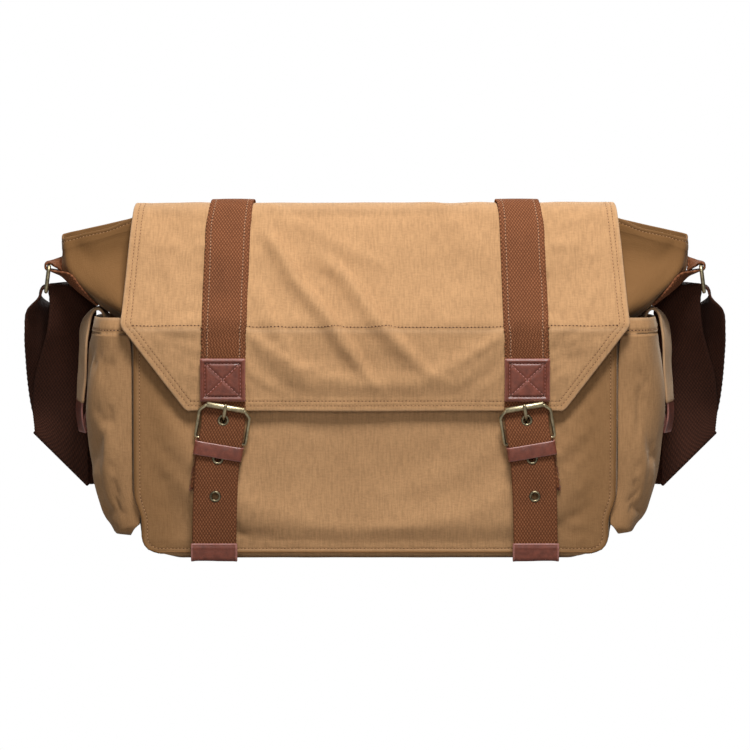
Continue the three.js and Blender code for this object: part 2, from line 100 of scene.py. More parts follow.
def noise(u, v, size, seed):
    """Smooth noise from -1 to 1 whose bumps are about `size` wide."""
    table = np.random.RandomState(seed).uniform(-1, 1, (64, 64))
    x, y = np.asarray(u, float) / size + 17.3, np.asarray(v, float) / size + 5.9
    i, j = np.floor(x).astype(int), np.floor(y).astype(int)
    fx, fy = x - i, y - j
    fx, fy = fx * fx * (3 - 2 * fx), fy * fy * (3 - 2 * fy)
    low, high = (table[i % 64, k % 64] * (1 - fx) + table[(i + 1) % 64, k % 64] * fx for k in (j, j + 1))
    return low * (1 - fy) + high * fy


def crease(u, v, start, end, width, height):
    """A soft fold along a line, fading at both of its ends."""
    a, b = np.array(start, float), np.array(end, float)
    along = (b - a) / np.dot(b - a, b - a)
    t = (u - a[0]) * along[0] + (v - a[1]) * along[1]
    across = np.array([-(b - a)[1], (b - a)[0]]) / np.linalg.norm(b - a)
    away = (u - a[0]) * across[0] + (v - a[1]) * across[1]
    return height * np.exp(-(away / width) ** 2) * smooth(-0.15, 0.25, t) * (1 - smooth(0.7, 1.15, t))


def bent_fold(u, v, knots, width, height):
    """A soft fold along a bending line of knots, steep on one side and easy on the other."""
    knots = np.array(knots, float)
    middle = np.interp(v, knots[:, 1], knots[:, 0])
    lean = np.interp(v, knots[:, 1], np.gradient(knots[:, 0], knots[:, 1]))
    away = (u - middle) / np.sqrt(1 + lean**2)
    shape = np.exp(-(away / np.where(away > 0, 0.6 * width, 1.5 * width)) ** 2)
    share = (v - knots[0, 1]) / (knots[-1, 1] - knots[0, 1])
    return height * shape * smooth(0, 0.22, share) * (1 - smooth(0.72, 1, share))


# ---------------------------------------------------------------- the bag's shape, as in the frame
BODY_HALF_WIDTH, BODY_TOP, BODY_LOW, CORNER, FOOT_INSET = 217, 312, 7.2, 14, 6.5
FOOT, MOUTH, BELLY = 68, 14, 3
SHOULDER_LOW, SHOULDER_HIGH = 205, 285
WING_HIGH, WING_SAG = 268, 17


def half_depth(z):
    belly = np.where(z < SHOULDER_LOW, BELLY * np.sin(np.pi * z / SHOULDER_LOW), 0)
    return MOUTH + (FOOT - MOUTH) * (1 - smooth(SHOULDER_LOW, SHOULDER_HIGH, z)) + belly


def side_width(z):
    """Half the width of the walls, which are drawn in below the pockets."""
    return BODY_HALF_WIDTH - FOOT_INSET * (1 - smooth(34, 62, z))


def half_width(z):
    below = np.maximum(0, CORNER - (z - BODY_LOW))
    return side_width(z) - CORNER + np.sqrt(np.maximum(CORNER**2 - below**2, 0))


def fold_shape(share, z):
    """How the end bulges between its edges: round below, blunt where it folds out, sharper at the mouth."""
    power = 1 - 0.67 * smooth(SHOULDER_LOW, 235, z) + 0.27 * smooth(SHOULDER_HIGH, 305, z)
    return np.sin(np.pi * np.clip(share, 0, 1)) ** power


def gusset_x(y, z):
    low = 14 * np.minimum(1, z / 60)
    bulge = low + (72 - 14) * smooth(SHOULDER_LOW, WING_HIGH, z)
    return -(half_width(z) + 0.4 + bulge * fold_shape((y / half_depth(z) + 1) / 2, z))


# ---------------------------------------------------------------- materials
class Shader:
    """A Principled material and short names for the nodes that feed it."""

    def __init__(self, name, **settings):
        self.material = bpy.data.materials.new(name)
        self.material.use_nodes = True
        self.tree = self.material.node_tree
        self.bsdf = self.tree.nodes["Principled BSDF"]
        for key, value in settings.items():
            self.bsdf.inputs[key.replace("_", " ")].default_value = value

    def node(self, kind, inputs=(), **settings):
        made = self.tree.nodes.new("ShaderNode" + kind)
        for key, value in settings.items():
            setattr(made, key, value)
        for key, value in dict(inputs).items():
            self.feed(made.inputs[key], value)
        return made

    def feed(self, socket, value):
        if isinstance(value, bpy.types.NodeSocket):
            self.tree.links.new(value, socket)
        else:
            socket.default_value = value

    def math(self, operation, a, b=0.0, c=0.0, clamp=False):
        return self.node("Math", {0: a, 1: b, 2: c}, operation=operation, use_clamp=clamp).outputs[0]

    def uv(self, u_scale=1.0, v_scale=1.0):
        coords = self.node("TexCoord").outputs["UV"]
        return self.node("Mapping", {"Vector": coords, "Scale": (u_scale, v_scale, 1)}).outputs[0]

    def noise(self, vector, scale, detail=2.0, rough=0.5):
        made = self.node("TexNoise", {"Vector": vector, "Scale": scale, "Detail": detail, "Roughness": rough})
        return made.outputs["Fac"]

    def object_noise(self, scale, detail=2.0, rough=0.5):
        return self.noise(self.node("TexCoord").outputs["Object"], scale, detail, rough)

    def ramp(self, factor, *stops):
        made = self.node("ValToRGB", {"Fac": factor})
        points = made.color_ramp.elements
        while len(points) < len(stops):
            points.new(0.5)
        for point, (place, color) in zip(points, stops):
            point.position = place
            point.color = (*color, 1)
        return made.outputs["Color"]

    def mix(self, factor, a, b, kind="MIX"):
        made = self.node("Mix", data_type="RGBA", blend_type=kind)
        self.feed(made.inputs[0], factor)
        self.feed(made.inputs[6], a)
        self.feed(made.inputs[7], b)
        return made.outputs[2]

    def attribute(self, name):
        return self.node("Attribute", attribute_name=name).outputs["Fac"]

    def bump(self, height, distance, strength=1.0, normal=None):
        made = self.node("Bump", {"Height": height, "Distance": distance, "Strength": strength})
        if normal is not None:
            self.feed(made.inputs["Normal"], normal)
        return made.outputs["Normal"]

    def finish(self, color, normal, roughness=None):
        self.feed(self.bsdf.inputs["Base Color"], color)
        self.feed(self.bsdf.inputs["Normal"], normal)
        if roughness is not None:
            self.feed(self.bsdf.inputs["Roughness"], roughness)
        return self.material


def srgb(*values):
    return tuple(((v / 255 + 0.055) / 1.055) ** 2.4 if v > 10 else v / 255 / 12.92 for v in values)


def shade(color, factor):
    return tuple(c * factor for c in color)


def canvas(name, tone, rib=0.0016):
    """Washed canvas: fine upright ribs, a weave across them and faint mottling."""
    s = Shader(name, Roughness=0.85, Sheen_Weight=0.22, Sheen_Roughness=0.4)
    s.bsdf.inputs["Specular IOR Level"].default_value = 0.2
    s.bsdf.inputs["Sheen Tint"].default_value = (1.0, 0.86, 0.68, 1)
    warp = s.noise(s.uv(1, 0.12), 1 / rib, 2.0, 0.5)
    weft = s.noise(s.uv(0.35, 1), 1 / rib, 2.0, 0.55)
    blotch = s.object_noise(70, 3.0, 0.6)
    cloud = s.object_noise(13, 3.0, 0.6)
    threads = s.math("MULTIPLY_ADD", warp, 0.6, s.math("MULTIPLY", weft, 0.4))
    color = s.ramp(threads, (0.38, shade(tone, 0.88)), (0.5, tone), (0.62, shade(tone, 1.1)))
    uneven = s.ramp(s.math("MULTIPLY_ADD", cloud, 0.6, s.math("MULTIPLY", blotch, 0.4)),
                    (0.36, (0.93, 0.92, 0.91)), (0.64, (1.06, 1.06, 1.06)))
    color = s.mix(1.0, color, uneven, "MULTIPLY")
    # Paler colour set per point by a mark: rubbed rims, and a painted highlight on the flap's rolled top.
    rubbed_and_highlit = (1.25 * tone[0], 1.5 * tone[1], 2.0 * tone[2], 1)
    color = s.mix(s.math("MULTIPLY", s.attribute("wear"), 0.4), color, rubbed_and_highlit)
    # Darker colour set per point by a mark: darker along stitch rows, and painted shade on the end walls, the
    # walls' sides, the pockets and the piping.
    soiled_and_shaded = (0.36 * tone[0], 0.29 * tone[1], 0.17 * tone[2], 1)
    color = s.mix(s.math("MULTIPLY", s.attribute("dirt"), 0.6), color, soiled_and_shaded)
    grain = s.noise(s.uv(1, 0.6), 2.4 / rib, 2.0, 0.6)
    height = s.math("MULTIPLY_ADD", grain, 0.4, threads)
    return s.finish(color, s.bump(height, 0.0005, 0.7))


def webbing(name, tone, glint, pitch=(0.0027, 0.0021)):
    """Heavy cotton webbing: short raised picks in offset rows, uneven from pick to pick."""
    s = Shader(name, Roughness=0.85)
    s.bsdf.inputs["Specular IOR Level"].default_value = 0.15
    at = s.node("SeparateXYZ", {0: s.uv()}).outputs
    across = s.math("SINE", s.math("MULTIPLY", at[0], 2 * math.pi / pitch[0]))
    along = s.math("SINE", s.math("MULTIPLY", at[1], math.pi / pitch[1]))
    picks = s.math("MULTIPLY_ADD", s.math("MULTIPLY", across, along), 0.5, 0.5)
    uneven = s.noise(s.uv(1, 0.8), 620, 3.0, 0.65)
    cloud = s.object_noise(22, 3.0, 0.6)
    level = s.math("MULTIPLY_ADD", uneven, 0.5, s.math("MULTIPLY", picks, 0.5))
    color = s.ramp(level, (0.25, shade(tone, 0.72)), (0.5, tone), (0.8, glint))
    faded = s.ramp(cloud, (0.3, (0.86, 0.86, 0.86)), (0.7, (1.1, 1.09, 1.08)))
    color = s.mix(1.0, color, faded, "MULTIPLY")
    color = s.mix(s.math("MULTIPLY", s.attribute("dirt"), 0.75), color, (*shade(tone, 0.3), 1))
    height = s.math("MULTIPLY_ADD", uneven, 0.6, s.math("MULTIPLY", picks, 0.8))
    return s.finish(color, s.bump(height, 0.0005, 0.85))


def leather(name, tone, worn):
    """Coated leather: a fine grain, a waxy shine and rubbed pink edges."""
    s = Shader(name, Coat_Weight=0.2, Coat_Roughness=0.22)
    s.bsdf.inputs["Specular IOR Level"].default_value = 0.45
    place = s.node("TexCoord").outputs["Object"]
    cells = s.node("TexVoronoi", {"Vector": place, "Scale": 1500.0}).outputs["Distance"]
    cloud = s.object_noise(170, 4.0, 0.65)
    fine = s.object_noise(900, 2.0, 0.6)
    color = s.ramp(cloud, (0.34, shade(tone, 0.72)), (0.52, tone), (0.72, shade(tone, 1.3)))
    rub = s.math("MULTIPLY", s.attribute("wear"), s.math("MULTIPLY_ADD", fine, 0.9, 0.15), clamp=True)
    color = s.mix(rub, color, (*worn, 1))
    # Darker where the darker mark is set: along the patch's sunken stitch box.
    color = s.mix(s.math("MULTIPLY", s.attribute("dirt"), 0.7), color, (*shade(tone, 0.35), 1))
    height = s.math("MULTIPLY_ADD", cells, 0.6, s.math("MULTIPLY", fine, 0.5))
    height = s.math("MULTIPLY_ADD", cloud, 1.2, height)
    rough = s.math("MULTIPLY_ADD", cloud, 0.4, 0.2)
    return s.finish(color, s.bump(height, 0.00022, 0.7), rough)


def antique(name, bright, dark):
    """Antiqued brass: dark in its hollows, rubbed bright where it is touched."""
    s = Shader(name, Metallic=1.0)
    cloud = s.object_noise(160, 4.0, 0.65)
    fine = s.object_noise(1400, 2.0, 0.6)
    facing = s.node("NewGeometry").outputs["Pointiness"]
    level = s.math("ADD", s.math("MULTIPLY", cloud, 0.7), s.math("MULTIPLY_ADD", facing, 1.6, -0.65))
    color = s.ramp(level, (0.25, dark), (0.62, bright), (0.85, shade(bright, 1.5)))
    rough = s.math("MULTIPLY_ADD", fine, 0.22, 0.26)
    return s.finish(color, s.bump(fine, 0.00008, 0.5), rough)


def thread(name, tone):
    s = Shader(name, Roughness=0.7, Sheen_Weight=0.2)
    s.bsdf.inputs["Specular IOR Level"].default_value = 0.25
    ply = s.object_noise(1300, 2.0, 0.6)
    color = s.ramp(ply, (0.3, shade(tone, 0.6)), (0.55, tone), (0.8, shade(tone, 1.35)))
    return s.finish(color, s.bump(ply, 0.0002, 0.8))


def fibreboard(name, tone):
    s = Shader(name, Roughness=0.85)
    pulp = s.object_noise(260, 4.0, 0.7)
    color = s.ramp(pulp, (0.3, shade(tone, 0.7)), (0.7, shade(tone, 1.3)))
    return s.finish(color, s.bump(pulp, 0.0004, 0.6))


TAN = srgb(182, 140, 98)
FINISHES = {
    "canvas": canvas("canvas_cloth", TAN),
    "canvas_inside": canvas("canvas_lining", srgb(164, 128, 92), 0.0018),
    "webbing": webbing("webbing_brown", srgb(110, 65, 40), srgb(158, 102, 68)),
    "strap_webbing": webbing("webbing_dark", srgb(64, 37, 27), srgb(82, 48, 34), (0.0031, 0.0024)),
    "leather": leather("leather_red_brown", srgb(117, 59, 42), srgb(180, 122, 112)),
    "brass": antique("brass_antique", srgb(194, 180, 144), srgb(52, 45, 36)),
    "board": fibreboard("board_grey", srgb(96, 88, 78)),
}
THREAD_TAN = thread("thread_tan", srgb(188, 142, 100))
THREAD_LIGHT = thread("thread_light", srgb(204, 152, 114))
THREAD_ROSE = thread("thread_rose", srgb(196, 134, 124))
THREAD_BROWN = thread("thread_brown", srgb(128, 72, 50))
# Dark discs at the needle holes: painted shade standing in for the holes.
HOLE_SHADE = fibreboard("needle_hole_shade", srgb(86, 54, 32))


# ---------------------------------------------------------------- meshes
class Mesh:
    """Points in the bag's millimetres, faces, and what each point carries."""

    def __init__(self, points, faces, uv=None, **marks):
        self.points = np.asarray(points, float)
        self.faces = [tuple(int(k) for k in f) for f in faces]
        self.uv = np.zeros((len(self.points), 2)) if uv is None else np.asarray(uv, float)
        self.marks = {k: np.asarray(v, float) for k, v in marks.items()}

    def __add__(self, other):
        start = len(self.points)
        faces = self.faces + [tuple(k + start for k in f) for f in other.faces]
        joined = Mesh(np.concatenate([self.points, other.points]), faces, np.concatenate([self.uv, other.uv]))
        for key in set(self.marks) | set(other.marks):
            parts = [m.marks.get(key, np.zeros(len(m.points))) for m in (self, other)]
            joined.marks[key] = np.concatenate(parts)
        return joined

    def mapped(self, move):
        return Mesh(move(self.points), self.faces, self.uv, **self.marks)


def total(meshes):
    """One mesh of several."""
    result = meshes[0]
    for mesh in meshes[1:]:
        result = result + mesh
    return result


def mesh_object(name, points, faces, uv):
    data = bpy.data.meshes.new(name)
    data.from_pydata(points.tolist(), [], faces)
    layer = data.uv_layers.new(name="UVMap")
    corners = np.zeros(len(data.loops), int)
    data.loops.foreach_get("vertex_index", corners)
    layer.data.foreach_set("uv", uv[corners].ravel())
    made = bpy.data.objects.new(name, data)
    bpy.context.scene.collection.objects.link(made)
    return made


def piece(name, mesh, material, body, stands_for=(), mirror=False):
    """Makes the object, in its place; one whose body is named rides on that body, one given with two points
    stays where it is.
    """
    points = metres(mesh.points)
    faces = mesh.faces
    if mirror:
        points[:, 0] *= -1
        faces = [f[::-1] for f in faces]
    made = mesh_object(name, points, faces, mesh.uv / 1000)
    data = made.data
    # Two per-point marks for the materials: one paler, for rubbed rims and a painted highlight, one darker, for
    # stitch rows and painted shade.
    for key in ("wear", "dirt"):
        values = mesh.marks.get(key, np.zeros(len(points)))
        data.attributes.new(key, "FLOAT", "POINT").data.foreach_set("value", values.astype(np.float32))
    data.polygons.foreach_set("use_smooth", [True] * len(data.polygons))
    data.materials.append(FINISHES[material] if isinstance(material, str) else material)
    if isinstance(body, str):
        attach(made, body)
    else:
        metres(body[2])
        metres(body[3])
        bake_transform(made)
    if stands_for:
        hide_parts(*stands_for)
    return made


def normals(grid):
    n = np.cross(np.gradient(grid, axis=1), np.gradient(grid, axis=0))
    return unit(n)


def border(rows, columns):
    top = [(0, j) for j in range(columns)]
    right = [(i, columns - 1) for i in range(1, rows)]
    bottom = [(rows - 1, j) for j in range(columns - 2, -1, -1)]
    left = [(i, 0) for i in range(rows - 2, 0, -1)]
    return np.array(top + right + bottom + left)


def sheet(grid, thick, wear=None, dirt=None, rim=4, rim_wear=0.0, across=None):
    """A closed sheet of cloth or leather about a grid of middle points, with a rounded rim."""
    rows, columns = grid.shape[:2]
    n = normals(grid)
    size = rows * columns
    loop = border(rows, columns)
    li, lj = loop[:, 0], loop[:, 1]
    out = np.zeros((rows, columns, 3))
    out[0] += unit(grid[0] - grid[1])
    out[-1] += unit(grid[-1] - grid[-2])
    out[:, 0] += unit(grid[:, 0] - grid[:, 1])
    out[:, -1] += unit(grid[:, -1] - grid[:, -2])
    out = unit(out[li, lj])
    edge, up = grid[li, lj], n[li, lj]
    rings = []
    for k in range(1, rim):
        angle = math.pi * k / rim
        rings.append(edge + thick / 2 * (math.cos(angle) * up + math.sin(angle) * out))
    near_and_far = [(grid + side * n * thick / 2).reshape(-1, 3) for side in (1, -1)]
    points = np.concatenate([*near_and_far, *rings])
    faces = []
    for i in range(rows - 1):
        for j in range(columns - 1):
            a = i * columns + j
            faces.append((a, a + 1, a + columns + 1, a + columns))
            faces.append((size + a, size + a + columns, size + a + columns + 1, size + a + 1))
    flat = li * columns + lj
    count = len(loop)
    bands = [flat] + [2 * size + k * count + np.arange(count) for k in range(rim - 1)] + [size + flat]
    for near, far in zip(bands, bands[1:]):
        for k in range(count):
            m = (k + 1) % count
            faces.append((near[k], far[k], far[m], near[m]))
    if across is None:
        middle = rows // 2
        across = np.broadcast_to(lengths(grid[middle])[None, :], (rows, columns))
    down = np.broadcast_to(lengths(grid[:, columns // 2])[:, None], (rows, columns))
    uv = np.stack([across, down], axis=-1).reshape(-1, 2)
    uv = np.concatenate([uv, uv] + [uv[flat]] * (rim - 1))
    marks = {}
    for key, values, extra in (("wear", wear, rim_wear), ("dirt", dirt, 0.0)):
        values = np.zeros((rows, columns)) if values is None else values
        base = values.reshape(-1).copy()
        base[flat] = np.maximum(base[flat], extra)
        marks[key] = np.concatenate([base, base] + [np.maximum(base[flat], extra)] * (rim - 1))
    return Mesh(points, faces, uv, **marks)


def lift(grid, height):
    return grid + normals(grid) * height[..., None]


def frames(line, closed=False, start=None):
    """A direction across the line at each point, carried along it without twist."""
    ahead = np.roll(line, -1, axis=0) - np.roll(line, 1, axis=0) if closed else np.gradient(line, axis=0)
    ahead = unit(ahead)
    side = np.array(start if start is not None else np.eye(3)[np.argmin(abs(ahead[0]))], float)
    sides = []
    for t in ahead:
        side = side - t * np.dot(side, t)
        side = side / np.linalg.norm(side)
        sides.append(side)
    sides = np.array(sides)
    return sides, np.cross(ahead, sides)


def tube(line, radius, sides=12, closed=False, start=None, flat=1.0):
    """A round bar along a line. `flat` squeezes it across its second direction."""
    line = np.array(line, float)
    a, b = frames(line, closed, start)
    radius = np.broadcast_to(np.asarray(radius, float), (len(line),))
    angles = np.linspace(0, 2 * np.pi, sides, endpoint=False)
    ring = np.cos(angles)[None, :, None] * a[:, None] + flat * np.sin(angles)[None, :, None] * b[:, None]
    points = (line[:, None] + ring * radius[:, None, None]).reshape(-1, 3)
    faces = []
    for i in range(len(line) if closed else len(line) - 1):
        m = (i + 1) % len(line)
        for j in range(sides):
            k = (j + 1) % sides
            faces.append((i * sides + j, i * sides + k, m * sides + k, m * sides + j))
    if not closed:
        faces.append(tuple(range(sides))[::-1])
        faces.append(tuple((len(line) - 1) * sides + j for j in range(sides)))
    around = np.tile(angles * radius.mean(), len(line))
    down = np.repeat(lengths(line), sides)
    return Mesh(points, faces, np.stack([around, down], axis=1))


def turned(profile, sides=32):
    """A closed profile of (radius, height) turned about the z axis."""
    profile = np.array(profile, float)
    count = len(profile)
    angles = np.linspace(0, 2 * np.pi, sides, endpoint=False)
    points = np.stack([
        np.outer(np.cos(angles), profile[:, 0]), np.outer(np.sin(angles), profile[:, 0]),
        np.broadcast_to(profile[:, 1], (sides, count))], axis=-1).reshape(-1, 3)
    faces = []
    for i in range(sides):
        for j in range(count):
            a, b = i * count + j, i * count + (j + 1) % count
            c, d = ((i + 1) % sides) * count + (j + 1) % count, ((i + 1) % sides) * count + j
            faces.append((a, d, c, b))
    return Mesh(points, faces)


def rounded(corners, radius, steps=5):
    """A closed line through the corners, each turned with this radius."""
    corners = np.array(corners, float)
    points = []
    for k, corner in enumerate(corners):
        before, after = corners[k - 1], corners[(k + 1) % len(corners)]
        a, b = unit(before - corner), unit(after - corner)
        r = radius[k] if isinstance(radius, (list, tuple)) else radius
        for t in np.linspace(0, 1, steps + 1):
            p, q = corner + a * r, corner + b * r
            points.append((1 - t) ** 2 * p + 2 * t * (1 - t) * corner + t * t * q)
    return np.array(points)


def filled(line, spacing):
    """A closed line with points added so that none are further apart than the spacing."""
    ring = np.vstack([line, line[:1]])
    count = max(8, int(lengths(ring)[-1] / spacing))
    return resampled(ring, np.linspace(0, lengths(ring)[-1], count, endpoint=False))


# How thick the cloths and leathers are.
CANVAS, LINING, TAB_CANVAS, TIP_LEATHER, PATCH_LEATHER = 1.9, 1.3, 2.4, 1.3, 1.5


# ---------------------------------------------------------------- stitches
STITCH_PITCH = 3.3
STITCHES_ON_LEATHER = {"length": 2.4, "pitch": 3.1}


def heading(line, at):
    """The line's direction at distances along it."""
    near = 0.8
    past, before = np.minimum(at + near, lengths(line)[-1]), np.maximum(at - near, 0)
    return unit(resampled(line, past) - resampled(line, before))


def stitched(line, up, length=2.0, radius=0.42, pitch=STITCH_PITCH, sink=0.1):
    """Thread along a line on cloth, whose upward direction is given, and dark discs of painted shade at its
    needle holes.
    """
    run = lengths(line)
    count = max(1, int(run[-1] / pitch))
    at = (np.arange(count) + 0.5) * run[-1] / count
    spot = resampled(line, at)
    ahead = heading(line, at)
    top = unit(np.stack([np.interp(at, run, up[:, k]) for k in range(3)], axis=1))
    across = unit(np.cross(top, ahead))
    top = np.cross(ahead, across)
    angles = np.linspace(0, 2 * np.pi, 6, endpoint=False)
    stations = np.array([-1, -0.72, 0, 0.72, 1])
    widths = np.array([0.45, 0.9, 1, 0.9, 0.45])
    drops = np.array([-1.0, -0.15, 0.25, -0.15, -1.0])
    base = spot[:, None, None] + (stations * length / 2)[None, :, None, None] * ahead[:, None, None]
    base = base + (drops * radius * 0.7 - sink)[None, :, None, None] * top[:, None, None]
    ring = (np.cos(angles)[None, None, :, None] * across[:, None, None]
            + np.sin(angles)[None, None, :, None] * top[:, None, None])
    points = (base + ring * radius * widths[None, :, None, None]).reshape(-1, 3)
    faces = []
    for s in range(count):
        o = s * 30
        for i in range(4):
            for j in range(6):
                k = (j + 1) % 6
                faces.append((o + i * 6 + j, o + (i + 1) * 6 + j, o + (i + 1) * 6 + k, o + i * 6 + k))
        faces.append(tuple(o + j for j in range(6)))
        faces.append(tuple(o + 24 + j for j in range(6))[::-1])
    threads = Mesh(points, faces)
    # Dark discs lying on the cloth at each needle hole: painted shade.
    hole_at = np.arange(count + 1) * run[-1] / count
    centre = resampled(line, hole_at)
    n = unit(np.stack([np.interp(hole_at, run, up[:, k]) for k in range(3)], axis=1))
    t = heading(line, hole_at)
    c = unit(np.cross(n, t))
    ring = (np.cos(angles)[None, :, None] * t[:, None] * 0.8
            + np.sin(angles)[None, :, None] * c[:, None] * 0.75)
    rim = centre[:, None] + ring + n[:, None] * 0.02
    peak = centre[:, None] + n[:, None] * 0.12
    base = centre[:, None] - n[:, None] * 0.3
    points = np.concatenate([rim, peak, base], axis=1).reshape(-1, 3)
    faces = []
    for s in range(count + 1):
        o = s * 8
        for j in range(6):
            k = (j + 1) % 6
            faces.append((o + j, o + k, o + 6))
            faces.append((o + k, o + j, o + 7))
    return threads, Mesh(points, faces)


def seam(name, runs, thread_finish, body, slot, mirror=False, **shape):
    """The thread of several stitched lines and the painted shade at their needle holes, as two pieces."""
    made = [stitched(line, up, **shape) for line, up in runs]
    piece(name, total([m[0] for m in made]), thread_finish, body, mirror=mirror)
    piece(name + "_hole_shades", total([m[1] for m in made]), HOLE_SHADE, body, mirror=mirror)


def on_grid(grid, thick, rows, columns):
    """Points and upward directions on the sheet's near face, at fractional rows and columns."""
    n = normals(grid)
    face = grid + n * thick / 2
    rows, columns = np.broadcast_arrays(np.asarray(rows, float), np.asarray(columns, float))
    i = np.clip(np.floor(rows).astype(int), 0, grid.shape[0] - 2)
    j = np.clip(np.floor(columns).astype(int), 0, grid.shape[1] - 2)
    a, b = (rows - i)[:, None], (columns - j)[:, None]
    place, up = ((1 - a) * (1 - b) * g[i, j] + (1 - a) * b * g[i, j + 1]
                 + a * (1 - b) * g[i + 1, j] + a * b * g[i + 1, j + 1] for g in (face, n))
    return place, unit(up)


# ---------------------------------------------------------------- cloth that settles
SIM_STEP, SIM_FRAMES = 3, 16         # every third grid point is simulated, for this many frames
SIM_REACH = 3                        # no point moves further than this


def settled(grid, held, slack, limit):
    rows, columns = (np.unique([*range(0, n, SIM_STEP), n - 1]) for n in grid.shape[:2])
    start = metres(grid[np.ix_(rows, columns)])
    high, wide = start.shape[:2]
    spots = np.arange(high * wide).reshape(high, wide)
    faces = np.stack([spots[:-1, :-1], spots[:-1, 1:], spots[1:, 1:], spots[1:, :-1]], axis=-1).reshape(-1, 4)
    data = bpy.data.meshes.new("settling")
    data.from_pydata(start.reshape(-1, 3).tolist(), [], faces.tolist())
    hung = bpy.data.objects.new("settling", data)
    bpy.context.scene.collection.objects.link(hung)
    pins = hung.vertex_groups.new(name="held")
    for spot in np.flatnonzero(held[np.ix_(rows, columns)]):
        pins.add([int(spot)], 1.0, "REPLACE")
    cloth = hung.modifiers.new("cloth", "CLOTH")
    cloth.point_cache.frame_end = SIM_FRAMES
    cloth.settings.vertex_group_mass = "held"
    cloth.settings.quality, cloth.settings.mass = 6, 0.3
    cloth.settings.tension_stiffness = cloth.settings.compression_stiffness = 15
    cloth.settings.shear_stiffness, cloth.settings.bending_stiffness = 5, 0.5
    cloth.settings.shrink_min = -slack
    for step in range(1, SIM_FRAMES + 1):
        bpy.context.scene.frame_set(step)
    moved = hung.evaluated_get(bpy.context.evaluated_depsgraph_get()).to_mesh()
    after = np.zeros(high * wide * 3)
    moved.vertices.foreach_get("co", after)
    bpy.data.objects.remove(hung)
    bpy.context.scene.frame_set(1)
    shift = (after.reshape(high, wide, 3) - start) * 1000
    shift = shift / np.maximum(1, np.linalg.norm(shift, axis=-1, keepdims=True) / limit)
    down = np.stack([[np.interp(np.arange(grid.shape[0]), rows, shift[:, j, k]) for k in range(3)]
                     for j in range(wide)])
    return np.stack([[np.interp(np.arange(grid.shape[1]), columns, down[:, k, i]) for k in range(3)]
                     for i in range(grid.shape[0])]).transpose(0, 2, 1)


# ---------------------------------------------------------------- camera, light and floor
CAMERA_DISTANCE, CAMERA_ELEVATION, AIM_HEIGHT = 2.4, math.radians(4), 0.1647
LENS, SENSOR = 123.6, 36
AMBIENT, FLOOR_GREY = 0.15, 0.3      # how strongly the surroundings and the floor light the bag
# Name, place, size and power of each lamp.
LAMPS = (
    ("key", (0.12, -0.85, 1.5), 0.45, 26), ("top", (0.1, 0.1, 2.6), 1.2, 17),
    ("front", (0.0, -3.0, 1.0), 0.8, 13), ("back", (0.5, 2.7, 1.4), 1.2, 30),
)


def look(place, target):
    return (Vector(target) - Vector(place)).to_track_quat("-Z", "Y").to_euler()


def stage_scene():
    scene = bpy.context.scene
    scene.view_settings.view_transform = "Standard"
    camera = bpy.data.objects.new("camera", bpy.data.cameras.new("camera"))
    camera.data.lens, camera.data.sensor_width = LENS, SENSOR
    place = Vector((0, -math.cos(CAMERA_ELEVATION), math.sin(CAMERA_ELEVATION))) * CAMERA_DISTANCE
    camera.location = place + Vector((0, 0, AIM_HEIGHT))
    camera.rotation_euler = look(camera.location, (0, 0, AIM_HEIGHT))
    scene.collection.objects.link(camera)
    scene.camera = camera
    for name, place, size, power in LAMPS:
        light = bpy.data.lights.new(name, "AREA")
        light.size, light.energy = size, power
        lamp = bpy.data.objects.new(name, light)
        lamp.location = place
        lamp.rotation_euler = look(place, (0, 0, 0.15))
        scene.collection.objects.link(lamp)
    world = bpy.data.worlds.new("studio")
    world.use_nodes = True
    sky = world.node_tree
    seen = sky.nodes.new("ShaderNodeLightPath").outputs["Is Camera Ray"]
    level = sky.nodes.new("ShaderNodeMapRange")
    level.inputs["To Min"].default_value, level.inputs["To Max"].default_value = AMBIENT, 1.0
    sky.links.new(seen, level.inputs["Value"])
    sky.links.new(level.outputs["Result"], sky.nodes["Background"].inputs["Strength"])
    sky.nodes["Background"].inputs["Color"].default_value = (1, 1, 1, 1)
    scene.world = world
    paint = Shader("floor_white", Base_Color=(FLOOR_GREY, FLOOR_GREY, FLOOR_GREY, 1), Roughness=0.9)
    glow = paint.node("Emission", {"Color": (1, 1, 1, 1), "Strength": 1.0}).outputs[0]
    first = paint.node("LightPath").outputs["Is Camera Ray"]
    both = paint.node("MixShader", {0: first, 1: paint.bsdf.outputs[0], 2: glow}).outputs[0]
    paint.feed(paint.tree.nodes["Material Output"].inputs["Surface"], both)
    data = bpy.data.meshes.new("floor")
    data.from_pydata([(-9, -9, 0), (9, -9, 0), (9, 9, 0), (-9, 9, 0)], [], [(0, 1, 2, 3)])
    data.materials.append(paint.material)
    floor = bpy.data.objects.new("floor", data)
    floor.location.z = -0.0006
    scene.collection.objects.link(floor)


stage_scene()


# ---------------------------------------------------------------- shoulder strap
STRAP_WIDE, STRAP_THICK = 50, 2.4
FOLD_HIGH, FOLD_LOW, FOLD_OUT, FOLD_IN = 106, 56, -325, -275
RING_SKEW = 0.127                    # the rings hang slightly turned, their backs further out
ALONG_RING = (-RING_SKEW, 1, 0)
